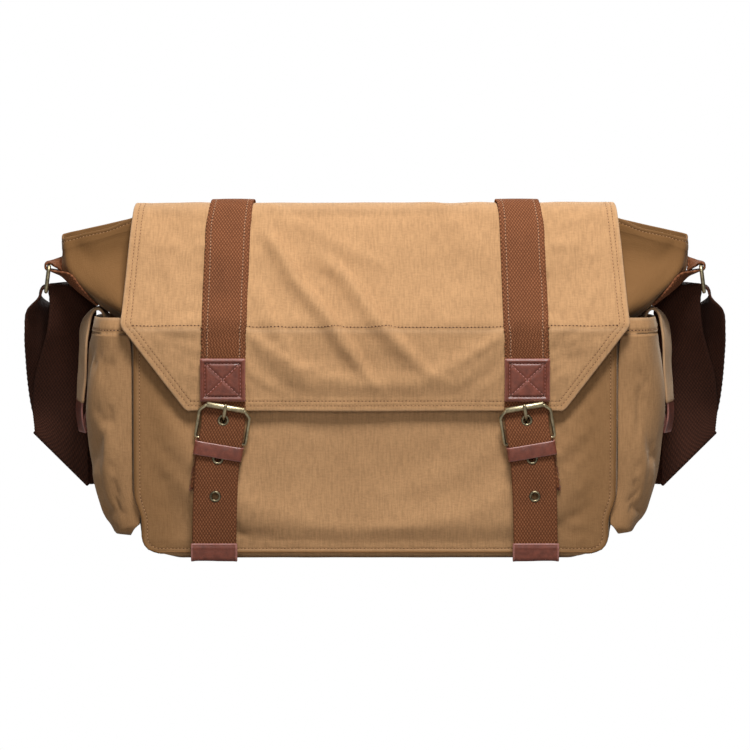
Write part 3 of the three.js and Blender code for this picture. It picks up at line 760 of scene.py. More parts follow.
# Middle points and the direction of the width, from the ring down to the fold.
STRAP_ROUTE = [
    ((-310.6, 0, 245), ALONG_RING), ((-308.8, 0, 246.7), ALONG_RING), ((-306.8, 0, 247.2), ALONG_RING),
    ((-304.6, 0.4, 247.6), (-0.06, 1, 0)), ((-301.5, 1.2, 248.4), (0.05, 1, 0)),
    ((-296.5, 3, 249.2), (0.28, 0.96, 0)), ((-290.4, 6, 247.6), (0.5, 0.87, 0)),
    ((-286, 10, 242), (0.67, 0.74, 0)), ((-283.6, 13, 233), (0.75, 0.66, 0)),
    ((-284.4, 17, 219), (0.78, 0.63, 0)), ((-286.6, 22, 204), (0.8, 0.6, 0)),
    ((-290.8, 29, 184), (0.9, 0.43, 0)), ((-297, 38, 160), (0.97, 0.24, 0)), ((-300, 46, 136), (1, 0, 0)),
]
FOLD_ROWS = [(0, 52), (-0.9, 52.7), (-1.2, 54.4), (-0.9, 56.1), (0, 56.8)]
BACK_RUN = [(-264, 63), (-245, 70), (-215, 76), (-160, 78), (-100, 78.5), (-50, 78.5), (-2.4, 78)]
RETURN_ROUTE = [
    ((-309.6, 0, 246.1), ALONG_RING), ((-310.6, 0, 245), ALONG_RING), ((-312.6, 0, 239), ALONG_RING),
    ((-312.5, 6, 225), (0.38, 0.92, 0)), ((-313.5, 15, 205), (0.48, 0.88, 0)),
    ((-309, 33, 177), (0.76, 0.65, 0)), ((-306, 50, 152), (0.93, 0.37, 0)),
    ((-304, 59, 133), (1, 0.1, 0)), ((-301.5, 63, 117), (1, 0, 0)),
]


def edges_of(route):
    rows = []
    for middle, width in route:
        half = unit(np.array(width, float)) * STRAP_WIDE / 2
        rows.append(np.concatenate([np.array(middle) - half, np.array(middle) + half]))
    return np.array(rows)


def ribbon(edges, spacing=2.2, columns=15, selvedge=0.25):
    """A grid across a strap whose two edges are given, its selvedges slightly scalloped."""
    count = int(lengths(edges[:, :3] / 2 + edges[:, 3:] / 2)[-1] / spacing) + 2
    rows = curve(edges, count)
    a, b = rows[:, None, :3], rows[:, None, 3:]
    t = (1 - np.cos(np.linspace(0, np.pi, columns))) / 2
    t = (0.35 * t + 0.65 * np.linspace(0, 1, columns))[None, :, None]
    grid = a * (1 - t) + b * t
    nip = selvedge * np.sin(np.arange(count) * 2.1)[:, None]
    grid[:, 0] += unit(b - a)[:, 0] * nip
    grid[:, -1] -= unit(b - a)[:, 0] * nip
    return grid


def strap_grid():
    upper = edges_of(STRAP_ROUTE)
    lower = [np.array([FOLD_OUT + k, y, FOLD_HIGH + k, FOLD_IN + k, y, FOLD_LOW + k]) for k, y in FOLD_ROWS]
    back = [np.array([x, y, FOLD_HIGH, x, y, FOLD_LOW]) for x, y in BACK_RUN]
    front = ribbon(np.vstack([upper, lower[:1]]))
    behind = ribbon(np.vstack([lower[-1:], back]))
    turn = np.array(lower[1:-1])
    t = np.linspace(0, 1, front.shape[1])[None, :, None]
    crease_rows = turn[:, None, :3] * (1 - t) + turn[:, None, 3:] * t
    return np.concatenate([front, crease_rows, behind])


for side, sign in SIDES.items():
    flip = sign < 0
    grid = strap_grid()
    strap = piece(f"shoulder_strap_{side}_webbing", sheet(grid, STRAP_THICK), "strap_webbing",
                  ("bag", f"ring_{side}", (-sign * 293, 46, 130), (-sign * 307, 0, 240)),
                  (f"shoulder_strap_{side}",), mirror=flip)
    returned = ribbon(edges_of(RETURN_ROUTE))[:, ::-1]
    end = piece(f"strap_return_{side}_webbing", sheet(returned, STRAP_THICK), "strap_webbing",
                ("bag", f"ring_{side}", (-sign * 300, 60, 130), (-sign * 310, 0, 240)),
                (f"strap_return_{side}",), mirror=flip)
    line = metres((grid[4:, 0] + grid[4:, -1]) / 2)
    line[:, 0] *= sign


# ---------------------------------------------------------------- the flap
CLOTH = 2.4
EDGE = np.array([0, 1, 2, 2.8, 3.4, 4, 5, 6.2, 7.4, 8.2, 8.8, 9.4, 10.4, 11.6, 13])
HEM_STITCHES = (4, 8.2)
FLAP_LINE = [
    (15.8, 287), (15.8, 300), (18.2, 311), (19, 315.8), (15, 320.6), (6, 323.4), (-6, 323.4),
    (-16, 319.4), (-25.3, 309.8), (-37.4, 290.7), (-53.4, 256.6), (-68, 228), (-74.4, 215.5),
    (-76.4, 202), (-76.7, 182), (-76.7, 163), (-76.6, 137.5),
]
FLAP_KINK, FLAP_WIDE, FLAP_NARROW, FLAP_BACK = 213.8, 229.5, 171, 220


def flap_shape():
    line = curve(FLAP_LINE, 700)
    s = lengths(line)
    length = s[-1]
    kink = s[np.argmin(abs(line[:, 1] - FLAP_KINK) + (line[:, 0] > 0) * 99)]
    rows = np.concatenate([np.arange(0, length - EDGE[-1] - 1, 2.8), (length - EDGE)[::-1]])
    spot = resampled(line, rows)
    hinge = 36
    upper = FLAP_BACK + (FLAP_WIDE - FLAP_BACK) * (rows - hinge) / (kink - hinge)
    lower = FLAP_WIDE + (FLAP_NARROW - FLAP_WIDE) * (rows - kink) / (length - kink)
    soft = 2.5
    half = -soft * np.log(np.exp(-upper / soft + 90) + np.exp(-lower / soft + 90)) + 90 * soft
    half = half + soft * np.log(2) * np.exp(-((rows - kink) / 6) ** 2) * 0.8
    half = np.where(rows < hinge, 216 + 4 * smooth(20, hinge, rows), half)
    near_end = np.clip(2.5 - (length - rows), 0, 2.5)
    half = half - (2.5 - np.sqrt(6.25 - near_end**2)) * 0.8
    slope = np.sqrt(1 + np.gradient(half, rows) ** 2)
    inset = EDGE[None, :] * np.minimum(slope, 1.4)[:, None]
    inner = (half - inset[:, -1])[:, None] * np.linspace(-1, 1, 121)[None, 1:-1]
    x = np.concatenate([-half[:, None] + inset, inner, half[:, None] - inset[:, ::-1]], axis=1)
    y, z = (np.broadcast_to(spot[:, k, None], x.shape) for k in (0, 1))
    grid = np.stack([x, y, z], axis=-1)
    side = np.minimum((half[:, None] - abs(x)) / slope[:, None], 99)
    return grid, rows, side, length, kink


def strap_x(s, kink):
    """The middle of the left webbing at distance s along the flap."""
    return -131.5 - 3.5 * smooth(48, 96, s) - 2.7 * smooth(60, kink + 80, s)


def flap_relief(x, s, side, length, kink):
    away = np.minimum(side, (length - s) * 0.98)
    free = smooth(30, 50, s)
    h = 0.25 * (1 - smooth(8, 12.6, away)) * free
    for row in HEM_STITCHES:
        h = h - 0.3 * np.exp(-((away - row) / 0.8) ** 2) * free
    h = h + 0.28 * noise(x, s, 6.5, 11) * np.exp(-((away - 6) / 5) ** 2) * free
    inside = smooth(8, 16, away)
    h = h - (0.55 + 0.25 * noise(x, s * 0, 7, 4)) * np.exp(-((s - kink) / 1.3) ** 2) * inside
    h = h + 0.45 * np.exp(-((s - kink - 3.5) / 2.5) ** 2) * inside
    h = h + 0.35 * noise(x, s * 0.4, 9, 5) * np.exp(-((s - kink) / 6) ** 2) * inside
    front = smooth(45, 80, s)
    h = h + front * (1.5 * noise(x, s, 75, 21) + 0.6 * noise(x, s, 32, 22) + 0.16 * noise(x, s, 11, 23))
    top = s - 46
    for knots, width, height in (
            (((-104, 30), (-97, 50), (-70, 99), (-42, 135), (-5, 188), (12, 212)), 5.8, 7.4),
            (((-60, 60), (-45, 74), (-21, 101), (4, 138), (41, 178), (74, 200)), 6.4, 6.8),
            (((-108, 6), (-84, 30), (-30, 62), (20, 92)), 9, 2.4),
            (((50, 2), (66, 26), (92, 60), (104, 96)), 9, 2.3),
            (((-112, 92), (-98, 128), (-70, 176), (-58, 206)), 8, 2.6),
            (((-206, 30), (-196, 70), (-176, 118)), 10, 1.3), (((196, 20), (184, 60), (164, 104)), 10, 1.4),
            (((206, 96), (190, 128), (172, 152)), 8, 1.3), (((-204, 100), (-188, 132), (-168, 158)), 8, 1.2)):
        h = h + bent_fold(x, top, knots, width, height)
    h = h + 0.7 * noise(x, s * 0.6, 26, 27) * (1 - smooth(60, 92, s)) * free
    for middle in (strap_x(s, kink), -strap_x(s, kink)):
        h = h * (1 - 0.8 * np.exp(-((x - middle) / 17) ** 4))
    return h


flap_base, flap_s, flap_side, FLAP_LENGTH, KINK_S = flap_shape()
flap_rows = np.broadcast_to(flap_s[:, None], flap_side.shape)
flap = flap_base[:, ::-1]
flap_height = flap_relief(flap[..., 0], flap_rows, flap_side[:, ::-1], FLAP_LENGTH, KINK_S)
flap = lift(flap, flap_height)
FLAP_HELD = (flap_rows < 70) | (flap_side[:, ::-1] < 6) | (flap_rows > FLAP_LENGTH - 9)
for middle in (strap_x(flap_rows, KINK_S), -strap_x(flap_rows, KINK_S)):
    FLAP_HELD |= abs(flap[..., 0] - middle) < 20
flap_calm = smooth(9, 30, np.minimum(flap_side[:, ::-1], FLAP_LENGTH - flap_rows))[..., None]
flap = flap + flap_calm * settled(flap, FLAP_HELD, 0.012, SIM_REACH)
flap_away = np.minimum(flap_side[:, ::-1], FLAP_LENGTH - flap_rows)
# Paler along the rims and the ridge under the kink, where the canvas is rubbed; the paler top is a painted
# highlight where the rolled top faces the light.
flap_wear_and_highlight = 0.45 * np.exp(-(flap_away / 1.0) ** 2)
flap_wear_and_highlight = flap_wear_and_highlight + 0.4 * np.exp(-((flap_rows - KINK_S - 3.5) / 2.2) ** 2)
flap_wear_and_highlight = flap_wear_and_highlight + 0.9 * (1 - smooth(44, 80, flap_rows))
# Darker along the hem stitches and the stitch row at the kink.
flap_darker_along_stitches = 0.3 * sum(np.exp(-((flap_away - row) / 0.8) ** 2) for row in HEM_STITCHES)
flap_darker_along_stitches = flap_darker_along_stitches + 0.4 * np.exp(-((flap_rows - KINK_S) / 1.4) ** 2)
FLAP_BLEND = ("bag", "flap", (0, 24, 300), (0, 0, 309))
flap_sheet = sheet(flap, CLOTH, flap_wear_and_highlight, flap_darker_along_stitches, across=flap[..., 0])
flap_cloth = piece("flap_canvas", flap_sheet, "canvas", FLAP_BLEND, ("flap_shell", "flap_back_hem"))


def flap_seams():
    columns = flap.shape[1]
    first = index_of(52, flap_s)
    runs = []
    for distance in HEM_STITCHES:
        j = index_of(distance, EDGE)
        last = index_of(FLAP_LENGTH - distance, flap_s)
        at = np.linspace(first, last, 160)
        runs += [on_grid(flap, CLOTH, at, j), on_grid(flap, CLOTH, at, columns - 1 - j),
                 on_grid(flap, CLOTH, last, np.linspace(j, columns - 1 - j, 200))]
    level = index_of(KINK_S, flap_s)
    inside = index_of(9.5, EDGE)
    runs.append(on_grid(flap, CLOTH, level, np.linspace(inside, columns - 1 - inside, 240)))
    return runs


seam("flap_stitches", flap_seams(), THREAD_TAN, "flap", "canvas")


# ---------------------------------------------------------------- webbing down the flap
STRAP, WEB = 38, 2.0


def flap_at(s, x):
    """Points of the flap's outer face at rows s and places x."""
    i = index_of(s, flap_s)
    along = np.arange(flap.shape[1])
    j = np.array([np.interp(-px, -flap[int(round(r)), :, 0], along) for r, px in zip(i, x)])
    return on_grid(flap, CLOTH, i, j)


def flap_webbing(sign):
    s = np.arange(38, FLAP_LENGTH - 24, 1.1)
    middle = sign * strap_x(s, KINK_S)
    t = np.linspace(-1, 1, 17)
    grid = np.zeros((len(s), len(t), 3))
    for k, u in enumerate(t):
        nip = 0.25 * np.sin(np.arange(len(s)) * 2.1) * (abs(u) > 0.99)
        p, n = flap_at(s, middle - sign * u * (STRAP / 2 - nip))
        rise = WEB / 2 + 0.25 + 0.35 * (1 - u**2) + 1.2 * np.exp(-((s - 56) / 14) ** 2)
        grid[:, k] = p + n * rise[:, None]
    return grid if sign > 0 else grid[:, ::-1]


def web_seams(grid, thick, insets):
    rows, columns = grid.shape[:2]
    wide = np.linalg.norm(grid[rows // 2, -1] - grid[rows // 2, 0])
    runs = []
    for inset in insets:
        j = (columns - 1) * (inset / wide if inset > 0 else 1 + inset / wide)
        at = np.linspace(0, rows - 1, rows * 2)
        runs.append(on_grid(grid, thick, at, j))
    return runs


PATCH_HIGH, PATCH_LOW = 184, 146.5
for side, sign in SIDES.items():
    grid = flap_webbing(sign)
    piece(f"flap_webbing_{side}_strap", sheet(grid, WEB), "webbing", FLAP_BLEND, (f"flap_webbing_{side}",))
    runs = web_seams(grid[14:-2], WEB, (4.2, -4.2))
    seam(f"flap_webbing_{side}_stitches", runs, THREAD_LIGHT, "flap", "webbing", length=2.3, radius=0.36)


def patch_grid(sign):
    """A square of leather with a turned rim, sunk along its box and cross of stitches."""
    middle = sign * -137.6
    u = np.linspace(-1, 1, 61)
    v = np.linspace(-1, 1, 61)
    uu, vv = np.meshgrid(u, v)
    half_x, half_z = 19.9, (PATCH_HIGH - PATCH_LOW) / 2
    z = (PATCH_HIGH + PATCH_LOW) / 2 - vv * half_z
    x = middle - uu * half_x * sign * (1 - 0.012 * (1 - vv**2))
    y = np.full_like(x, -83.1)
    away = np.minimum((1 - abs(uu)) * half_x, (1 - abs(vv)) * half_z)
    h = 1.1 * np.exp(-((away - 1.4) / 1.3) ** 2) - 0.55 * np.exp(-((away - 3.9) / 0.8) ** 2)
    inner = smooth(3.5, 5.5, away)
    h = h + inner * (0.9 - 0.8 * np.exp(-((abs(uu) - abs(vv)) * 19 / 1.6) ** 2))
    h = h - 0.5 * (1 - smooth(0, 1.2, away))
    y = y - h
    grid = np.stack([x, y, z], axis=-1)
    wear = 0.9 * (1 - smooth(0.1, 1.0, away))
    # Darker along the sunken stitch box.
    dirt = 0.8 * np.exp(-((away - 3.9) / 0.9) ** 2)
    return (grid, wear, dirt) if sign > 0 else (grid[:, ::-1], wear[:, ::-1], dirt[:, ::-1])


for side, sign in SIDES.items():
    grid, wear, dirt = patch_grid(sign)
    piece(f"leather_patch_{side}_cover", sheet(grid, PATCH_LEATHER, wear, dirt, rim_wear=1.0), "leather", "flap",
          (f"leather_patch_{side}",))
    lo, hi = 6.2, 53.8
    count = np.linspace(0, 1, 40)
    box_rows = [(lo, lo, lo, hi), (hi, lo, hi, hi), (lo, lo, hi, lo), (lo, hi, hi, hi)]
    cross_rows = [(lo + 2, lo + 2, hi - 2, hi - 2), (lo + 2, hi - 2, hi - 2, lo + 2)]
    runs = [on_grid(grid, PATCH_LEATHER, a + (c - a) * count, b + (d - b) * count)
            for a, b, c, d in box_rows + cross_rows]
    seam(f"leather_patch_{side}_stitches", runs, THREAD_ROSE, "flap", "leather",
         radius=0.4, **STITCHES_ON_LEATHER)


# ---------------------------------------------------------------- strap tails, eyelets and tips
TAIL_LINE = [
    (-137.2, -79.4, 162.6), (-137.2, -79.4, 141), (-137.3, -80.4, 128.7), (-139.8, -82.2, 109.5),
    (-142.2, -82.4, 94), (-144.8, -81.9, 59.6), (-145.7, -81.6, 25), (-146, -81.6, 3),
]
EYELETS = (128.7, 94, 59.6)
HEEL = np.array((-140.4, -77.05, 109.5))
TILT, LEAN = math.radians(9.9), math.radians(11.4)


def pierced(mesh, holes, radius):
    """The mesh with round holes through it, each given by its middle point."""
    body = mesh_object("pierced", mesh.points, mesh.faces, mesh.uv)
    bars = [tube([h - (0, 6, 0), h + (0, 6, 0)], radius, 24) for h in holes]
    drills = [mesh_object("drill", bar.points, bar.faces, bar.uv) for bar in bars]
    for drill in drills:
        cutter = body.modifiers.new("cut", "BOOLEAN")
        cutter.operation, cutter.solver, cutter.object = "DIFFERENCE", "EXACT", drill
    data = body.evaluated_get(bpy.context.evaluated_depsgraph_get()).to_mesh()
    points = np.array([v.co for v in data.vertices])
    uv = np.zeros((len(points), 2))
    layer = data.uv_layers["UVMap"].data
    for polygon in data.polygons:
        for corner in polygon.loop_indices:
            uv[data.loops[corner].vertex_index] = layer[corner].uv
    result = Mesh(points, [tuple(p.vertices) for p in data.polygons], uv)
    for made in [body, *drills]:
        bpy.data.objects.remove(made)
    return result


def tail_at(z):
    knots = np.array(TAIL_LINE)[::-1]
    return np.array([np.interp(z, knots[:, 2], knots[:, k]) for k in range(2)] + [z])


def tail_grid():
    line = curve(TAIL_LINE, 150)
    t = np.linspace(-1, 1, 17)
    grid = line[:, None] + np.stack([-t * STRAP / 2, 0 * t, 0 * t], axis=-1)[None]
    k = np.arange(150)[:, None]
    grid[..., 0] += 0.25 * np.sin(k * 2.1) * (abs(t) > 0.99)[None] * np.sign(t)[None]
    grid[..., 1] -= 0.35 * (1 - t**2)[None] + 0.5 * noise(grid[..., 0], grid[..., 2], 30, 7)
    return grid[:, ::-1]


def eyelet(z):
    ring = turned([(3.0, 0.0), (3.05, 1.3), (3.5, 1.95), (4.3, 2.1), (5.0, 1.75), (5.25, 1.25),
                   (3.6, 1.2), (3.5, 0.0), (3.5, -1.3), (5.1, -1.35), (5.0, -1.8), (3.2, -1.8)], 36)
    spot = tail_at(z)
    slope = math.atan2(tail_at(z - 3)[1] - tail_at(z + 3)[1], 6)
    x, y, up = ring.points.T
    placed = np.stack([spot[0] + x, spot[1] - up - 0.2, spot[2] + y * math.cos(slope)], axis=1)
    return Mesh(placed, ring.faces)


def local(points, lean=0.0):
    """Points given about the heel bar's middle, with the buckle upright, in the bag's place."""
    x, y, z = np.asarray(points, float).T
    y, z = y * math.cos(lean) - z * math.sin(lean), y * math.sin(lean) + z * math.cos(lean)
    x, z = x * math.cos(TILT) + z * math.sin(TILT), -x * math.sin(TILT) + z * math.cos(TILT)
    return np.stack([x, y, z], axis=1) + HEEL


def tip_mesh():
    """A leather cap folded round the strap's end: one strip from front over the end to the back."""
    rows = [(-84.3, 16.2), (-84.5, 12), (-84.5, 6), (-84.1, 2.6), (-82.9, 1.3), (-81.2, 1.0), (-79.9, 1.8),
            (-79.2, 4), (-79.1, 9), (-79.2, 15.8)]
    line = curve([(y, z) for y, z in rows], 34)
    t = np.linspace(-1, 1, 31)
    grid = np.zeros((34, 31, 3))
    grid[..., 0] = -146 - 20.3 * t[None]
    grid[..., 1] = line[:, :1]
    grid[..., 2] = line[:, 1:]
    rise = smooth(0.85, 1, abs(t))[None] * -0.35
    groove = -0.35 * np.exp(-((line[:, 1:] - 12.8) / 0.8) ** 2)
    grid = lift(grid[:, ::-1], (rise + groove + 0.25 * noise(t * 20, t * 0, 6, 2)[None]) * np.ones((34, 1)))
    away = np.minimum((1 - abs(t))[None] * 20.3, np.minimum(np.arange(34), 33 - np.arange(34))[:, None] * 1.1)
    wear = 0.8 * (1 - smooth(0.1, 1.0, away))
    return grid, wear[:, ::-1]


for side, sign in SIDES.items():
    flip = sign < 0
    grid = tail_grid()
    middles = [tail_at(z) for z in EYELETS]
    tail = pierced(sheet(grid, WEB), middles, 3.7)
    piece(f"strap_tail_{side}_webbing", tail, "webbing", "flap", (f"strap_tail_{side}",), mirror=flip)
    for k, z in enumerate(EYELETS):
        piece(f"eyelet_{side}_{k + 1}_ring", eyelet(z), "brass", "flap", (f"eyelet_{side}_{k + 1}",),
              mirror=flip)
    grid, wear = tip_mesh()
    piece(f"strap_tip_{side}_cap", sheet(grid, TIP_LEATHER, wear, rim_wear=1.0), "leather", "flap",
          (f"strap_tip_{side}",), mirror=flip)
    level = index_of(-12.6, -grid[:12, 15, 2])
    runs = [on_grid(grid, TIP_LEATHER, level, np.linspace(2, 28, 60))]
    seam(f"strap_tip_{side}_stitches", runs, THREAD_ROSE, "flap", "leather", mirror=flip,
         **STITCHES_ON_LEATHER)


# ---------------------------------------------------------------- buckles, keepers and chapes
HALF, HIGH = 23, 32.1


def buckle_frame():
    corners = [(-HALF, 0, 0), (HALF, 0, 0), (HALF, 0, HIGH - 6), (HALF - 6, 0, HIGH), (6 - HALF, 0, HIGH),
               (-HALF, 0, HIGH - 6)]
    ring = filled(rounded(corners, [3, 3, 2, 2, 2, 2]), 1.2)
    bar = 2.0 - 0.55 * smooth(HIGH - 2.2, HIGH - 0.6, ring[:, 2]) * (abs(ring[:, 0]) < HALF - 6.2)
    return tube(ring, bar, 14, closed=True, start=(0, 1, 0), flat=0.82)


def roller():
    profile = [(1.6, -17.4), (2.5, -17.4), (2.75, -16.9), (2.75, 16.9), (2.5, 17.4), (1.6, 17.4)]
    made = turned(profile, 28)
    x, y, z = made.points.T
    return Mesh(np.stack([z, y, x + HIGH], axis=1), [f[::-1] for f in made.faces])


TONGUE_LINE = [
    (0, -0.1, 2.8), (0, 0, 9), (0, 0.1, 15), (0, -0.4, 17.3), (0, -1.8, 18.6), (0, -3.4, 19.5),
    (0, -5.2, 20.6), (0, -7.8, 23.4), (0, -10.4, 29.4), (0, -11.0, 34.6),
]


def tongue():
    line = curve(TONGUE_LINE, 60)
    run = lengths(line)
    thick = 1.0 + 0.65 * smooth(19, 25, run) - 0.3 * smooth(run[-1] - 2, run[-1], run)
    thick[-1] *= 0.5
    pin = tube(line, thick, 12, start=(1, 0, 0), flat=0.8)
    ring = turned([(2.3, -1.9), (3.1, -1.9), (3.4, -1.2), (3.4, 1.2), (3.1, 1.9), (2.3, 1.9)], 24)
    x, y, z = ring.points.T
    return Mesh(np.stack([z, y, x], axis=1), [f[::-1] for f in ring.faces]) + pin


KEEPER_LOW, KEEPER_HIGH = -15, -2.5


def keeper_mesh():
    """A leather band round the strap, its cut edges left raw."""
    outline = filled(rounded([(-21.6, -8.4, 0), (21.6, -8.4, 0), (21.6, 5, 0), (-21.6, 5, 0)], 2.0), 1.3)
    rows = np.linspace(KEEPER_HIGH, KEEPER_LOW, 13)
    grid = np.repeat(outline[None], len(rows), axis=0)
    grid[..., 2] = rows[:, None]
    front = (grid[..., 1] < -7) * 1.0
    bow = (1 - ((rows - rows.mean()) / 6.25) ** 2)[:, None]
    grid[..., 1] -= front * (0.45 * bow + 0.35 * noise(grid[..., 0], grid[..., 2], 9, 8))
    grid[..., 2] += front * 0.35 * noise(grid[..., 0], grid[..., 0] * 0, 14, 9)
    count = len(outline)
    middle = np.array((0, -1.7, 0))
    out = unit((outline - middle) * (0.25, 1, 0))
    points = np.concatenate([(grid + out[None] * offset).reshape(-1, 3) for offset in (0.75, -0.75)])
    size = len(rows) * count
    faces = []
    for i in range(len(rows) - 1):
        for j in range(count):
            k = (j + 1) % count
            a, b, c, d = i * count + j, i * count + k, (i + 1) * count + k, (i + 1) * count + j
            faces.append((a, d, c, b))
            faces.append((size + a, size + b, size + c, size + d))
    for i, order in ((0, 1), (len(rows) - 1, -1)):
        for j in range(count):
            k = (j + 1) % count
            quad = (i * count + j, i * count + k, size + i * count + k, size + i * count + j)
            faces.append(quad[::order])
    edge = np.minimum(np.arange(len(rows)), len(rows) - 1 - np.arange(len(rows)))
    wear = np.repeat((edge == 0) * 1.0, count)
    around = np.tile(np.arange(count) * 1.3, len(rows))
    down = np.repeat(-rows, count)
    uv = np.stack([around, down], axis=1)
    return Mesh(local(points), faces, np.concatenate([uv, uv]), wear=np.concatenate([wear, wear]))


def chape_mesh():
    """Webbing sewn to the bag, folded round the heel bar and frayed at its raw end."""
    rows = [(2.4, -47), (2.4, -30), (2.4, -12), (2.6, -4), (2.9, 0), (2.0, 2.2), (0, 3.1), (-2.1, 2.2),
            (-3.0, 0), (-2.6, -2.2), (-1.2, -4.4), (-0.4, -10), (-0.2, -24), (-0.2, -46)]
    line = curve(rows, 100)
    t = np.linspace(-1, 1, 21)
    grid = np.zeros((100, 21, 3))
    grid[..., 0] = -t[None] * STRAP / 2
    grid[..., 1], grid[..., 2] = line[:, :1], line[:, 1:]
    whole = sheet(grid[:, ::-1], 1.5)
    middles = [whole.points[list(face)].mean(axis=0) for face in whole.faces]
    faces = [f for f, m in zip(whole.faces, middles) if abs(m[0]) >= 3 or m[2] <= -3.2]
    webbing_part = Mesh(local(whole.points), faces, whole.uv)
    draw = np.random.RandomState(12)
    threads = []
    for k in range(64):
        x = draw.uniform(-19.4, 19.4) if k % 2 else draw.uniform(-20, -14)
        long = draw.uniform(1.5, 5)
        knots = [(x, draw.uniform(-0.8, 2.2), -45.5)]
        for _ in range(3):
            last = knots[-1]
            knots.append((last[0] + draw.uniform(-0.9, 0.7), last[1] + draw.uniform(-0.4, 0.3),
                          last[2] - long / 3))
        threads.append(tube(curve(knots, 7), np.linspace(0.3, 0.12, 7), 5))
    for k in range(22):
        z = draw.uniform(-46, -16)
        knots = [(-18.6, draw.uniform(0, 2), z),
                 (-20 - draw.uniform(0, 1.0), draw.uniform(0, 1.6), z - draw.uniform(0, 2)),
                 (-19.6 - draw.uniform(0, 1.6), draw.uniform(0, 1.4), z - draw.uniform(2, 5))]
        threads.append(tube(curve(knots, 7), np.linspace(0.28, 0.12, 7), 5))
    frayed = total(threads)
    return webbing_part, Mesh(local(frayed.points), frayed.faces, frayed.uv)


for side, sign in SIDES.items():
    flip = sign < 0
    shape = buckle_frame()
    piece(f"buckle_{side}_loop", shape.mapped(lambda p: local(p, LEAN)), "brass", f"buckle_{side}",
          (f"buckle_frame_{side}",), mirror=flip)
    piece(f"roller_{side}_tube", roller().mapped(lambda p: local(p, LEAN)), "brass", f"roller_{side}",
          (f"roller_{side}",), mirror=flip)
    piece(f"tongue_{side}_pin", tongue().mapped(local), "brass", f"tongue_{side}", (f"tongue_{side}",),
          mirror=flip)
    piece(f"keeper_{side}_band", keeper_mesh(), "leather", "bag", (f"keeper_{side}",), mirror=flip)
    woven, frayed = chape_mesh()
    piece(f"chape_{side}_webbing", woven, "webbing", "bag", (f"chape_{side}",), mirror=flip)
    piece(f"chape_{side}_fray", frayed, THREAD_BROWN, "bag", mirror=flip)


# ---------------------------------------------------------------- front and back walls
def wall_grid(side):
    """The front (-1) or back (1) wall, its columns measured in from its sides."""
    between = np.arange(BODY_LOW + 16, BODY_TOP - 15, 2.8)
    levels = np.concatenate([BODY_LOW + EDGE, between, (BODY_TOP - EDGE)[::-1]])
    half = half_width(levels)
    inner = (half - EDGE[-1])[:, None] * np.linspace(-1, 1, 115)[None, 1:-1]
    x = np.concatenate([-half[:, None] + EDGE, inner, half[:, None] - EDGE[::-1]], axis=1)
    y = side * (half_depth(levels) - 1)
    y, z = (np.broadcast_to(values[:, None], x.shape) for values in (y, levels))
    grid = np.stack([x, y, z], axis=-1)
    return grid if side < 0 else grid[:, ::-1]


def wall_away(x, z):
    """Distance in from the wall's seam, which follows its rounded lower corners."""
    past_x = abs(x) - (side_width(z) - CORNER)
    past_z = BODY_LOW + CORNER - z
    plain = np.minimum(side_width(z) - abs(x), z - BODY_LOW)
    corner = CORNER - np.hypot(np.maximum(past_x, 0), np.maximum(past_z, 0))
    return np.where((past_x > 0) & (past_z > 0), corner, plain)


WALL_STITCH = 2.8


def wall_relief(x, z, seed):
    away = wall_away(x, z)
    h = 0.35 * np.exp(-((away - 1.0) / 1.0) ** 2) - 0.3 * np.exp(-((away - WALL_STITCH) / 0.8) ** 2)
    h = h + 0.35 * noise(x + z * 0.5, z - x * 0.2, 6, seed) * np.exp(-((away - 3) / 3.5) ** 2)
    soft = smooth(3, 40, away) * (1 - smooth(240, 290, z))
    h = h + 2.2 * soft * (1 - (x / BODY_HALF_WIDTH) ** 2)
    h = h + soft * (2.2 * noise(x, z, 85, seed + 1) + 0.8 * noise(x, z, 36, seed + 2)
                    + 0.14 * noise(x, z, 12, seed + 3))
    folds = (((-205, 40), (-150, 110), 12, 1.2), ((205, 40), (150, 112), 12, 1.2),
             ((-190, 18), (-120, 40), 9, -0.9), ((190, 18), (120, 44), 9, -0.9),
             ((-120, 30), (-90, 120), 13, 0.9), ((118, 24), (88, 110), 13, 0.9),
             ((-60, 20), (40, 34), 11, 0.8), ((-10, 60), (70, 110), 16, -0.8))
    for start, end, width, height in folds:
        h = h + soft * crease(x, z, start, end, width, height)
    top = BODY_TOP - z
    h = h + 0.6 * (1 - smooth(20, 22, top)) - 0.5 * np.exp(-((top - 19) / 0.9) ** 2)
    return h


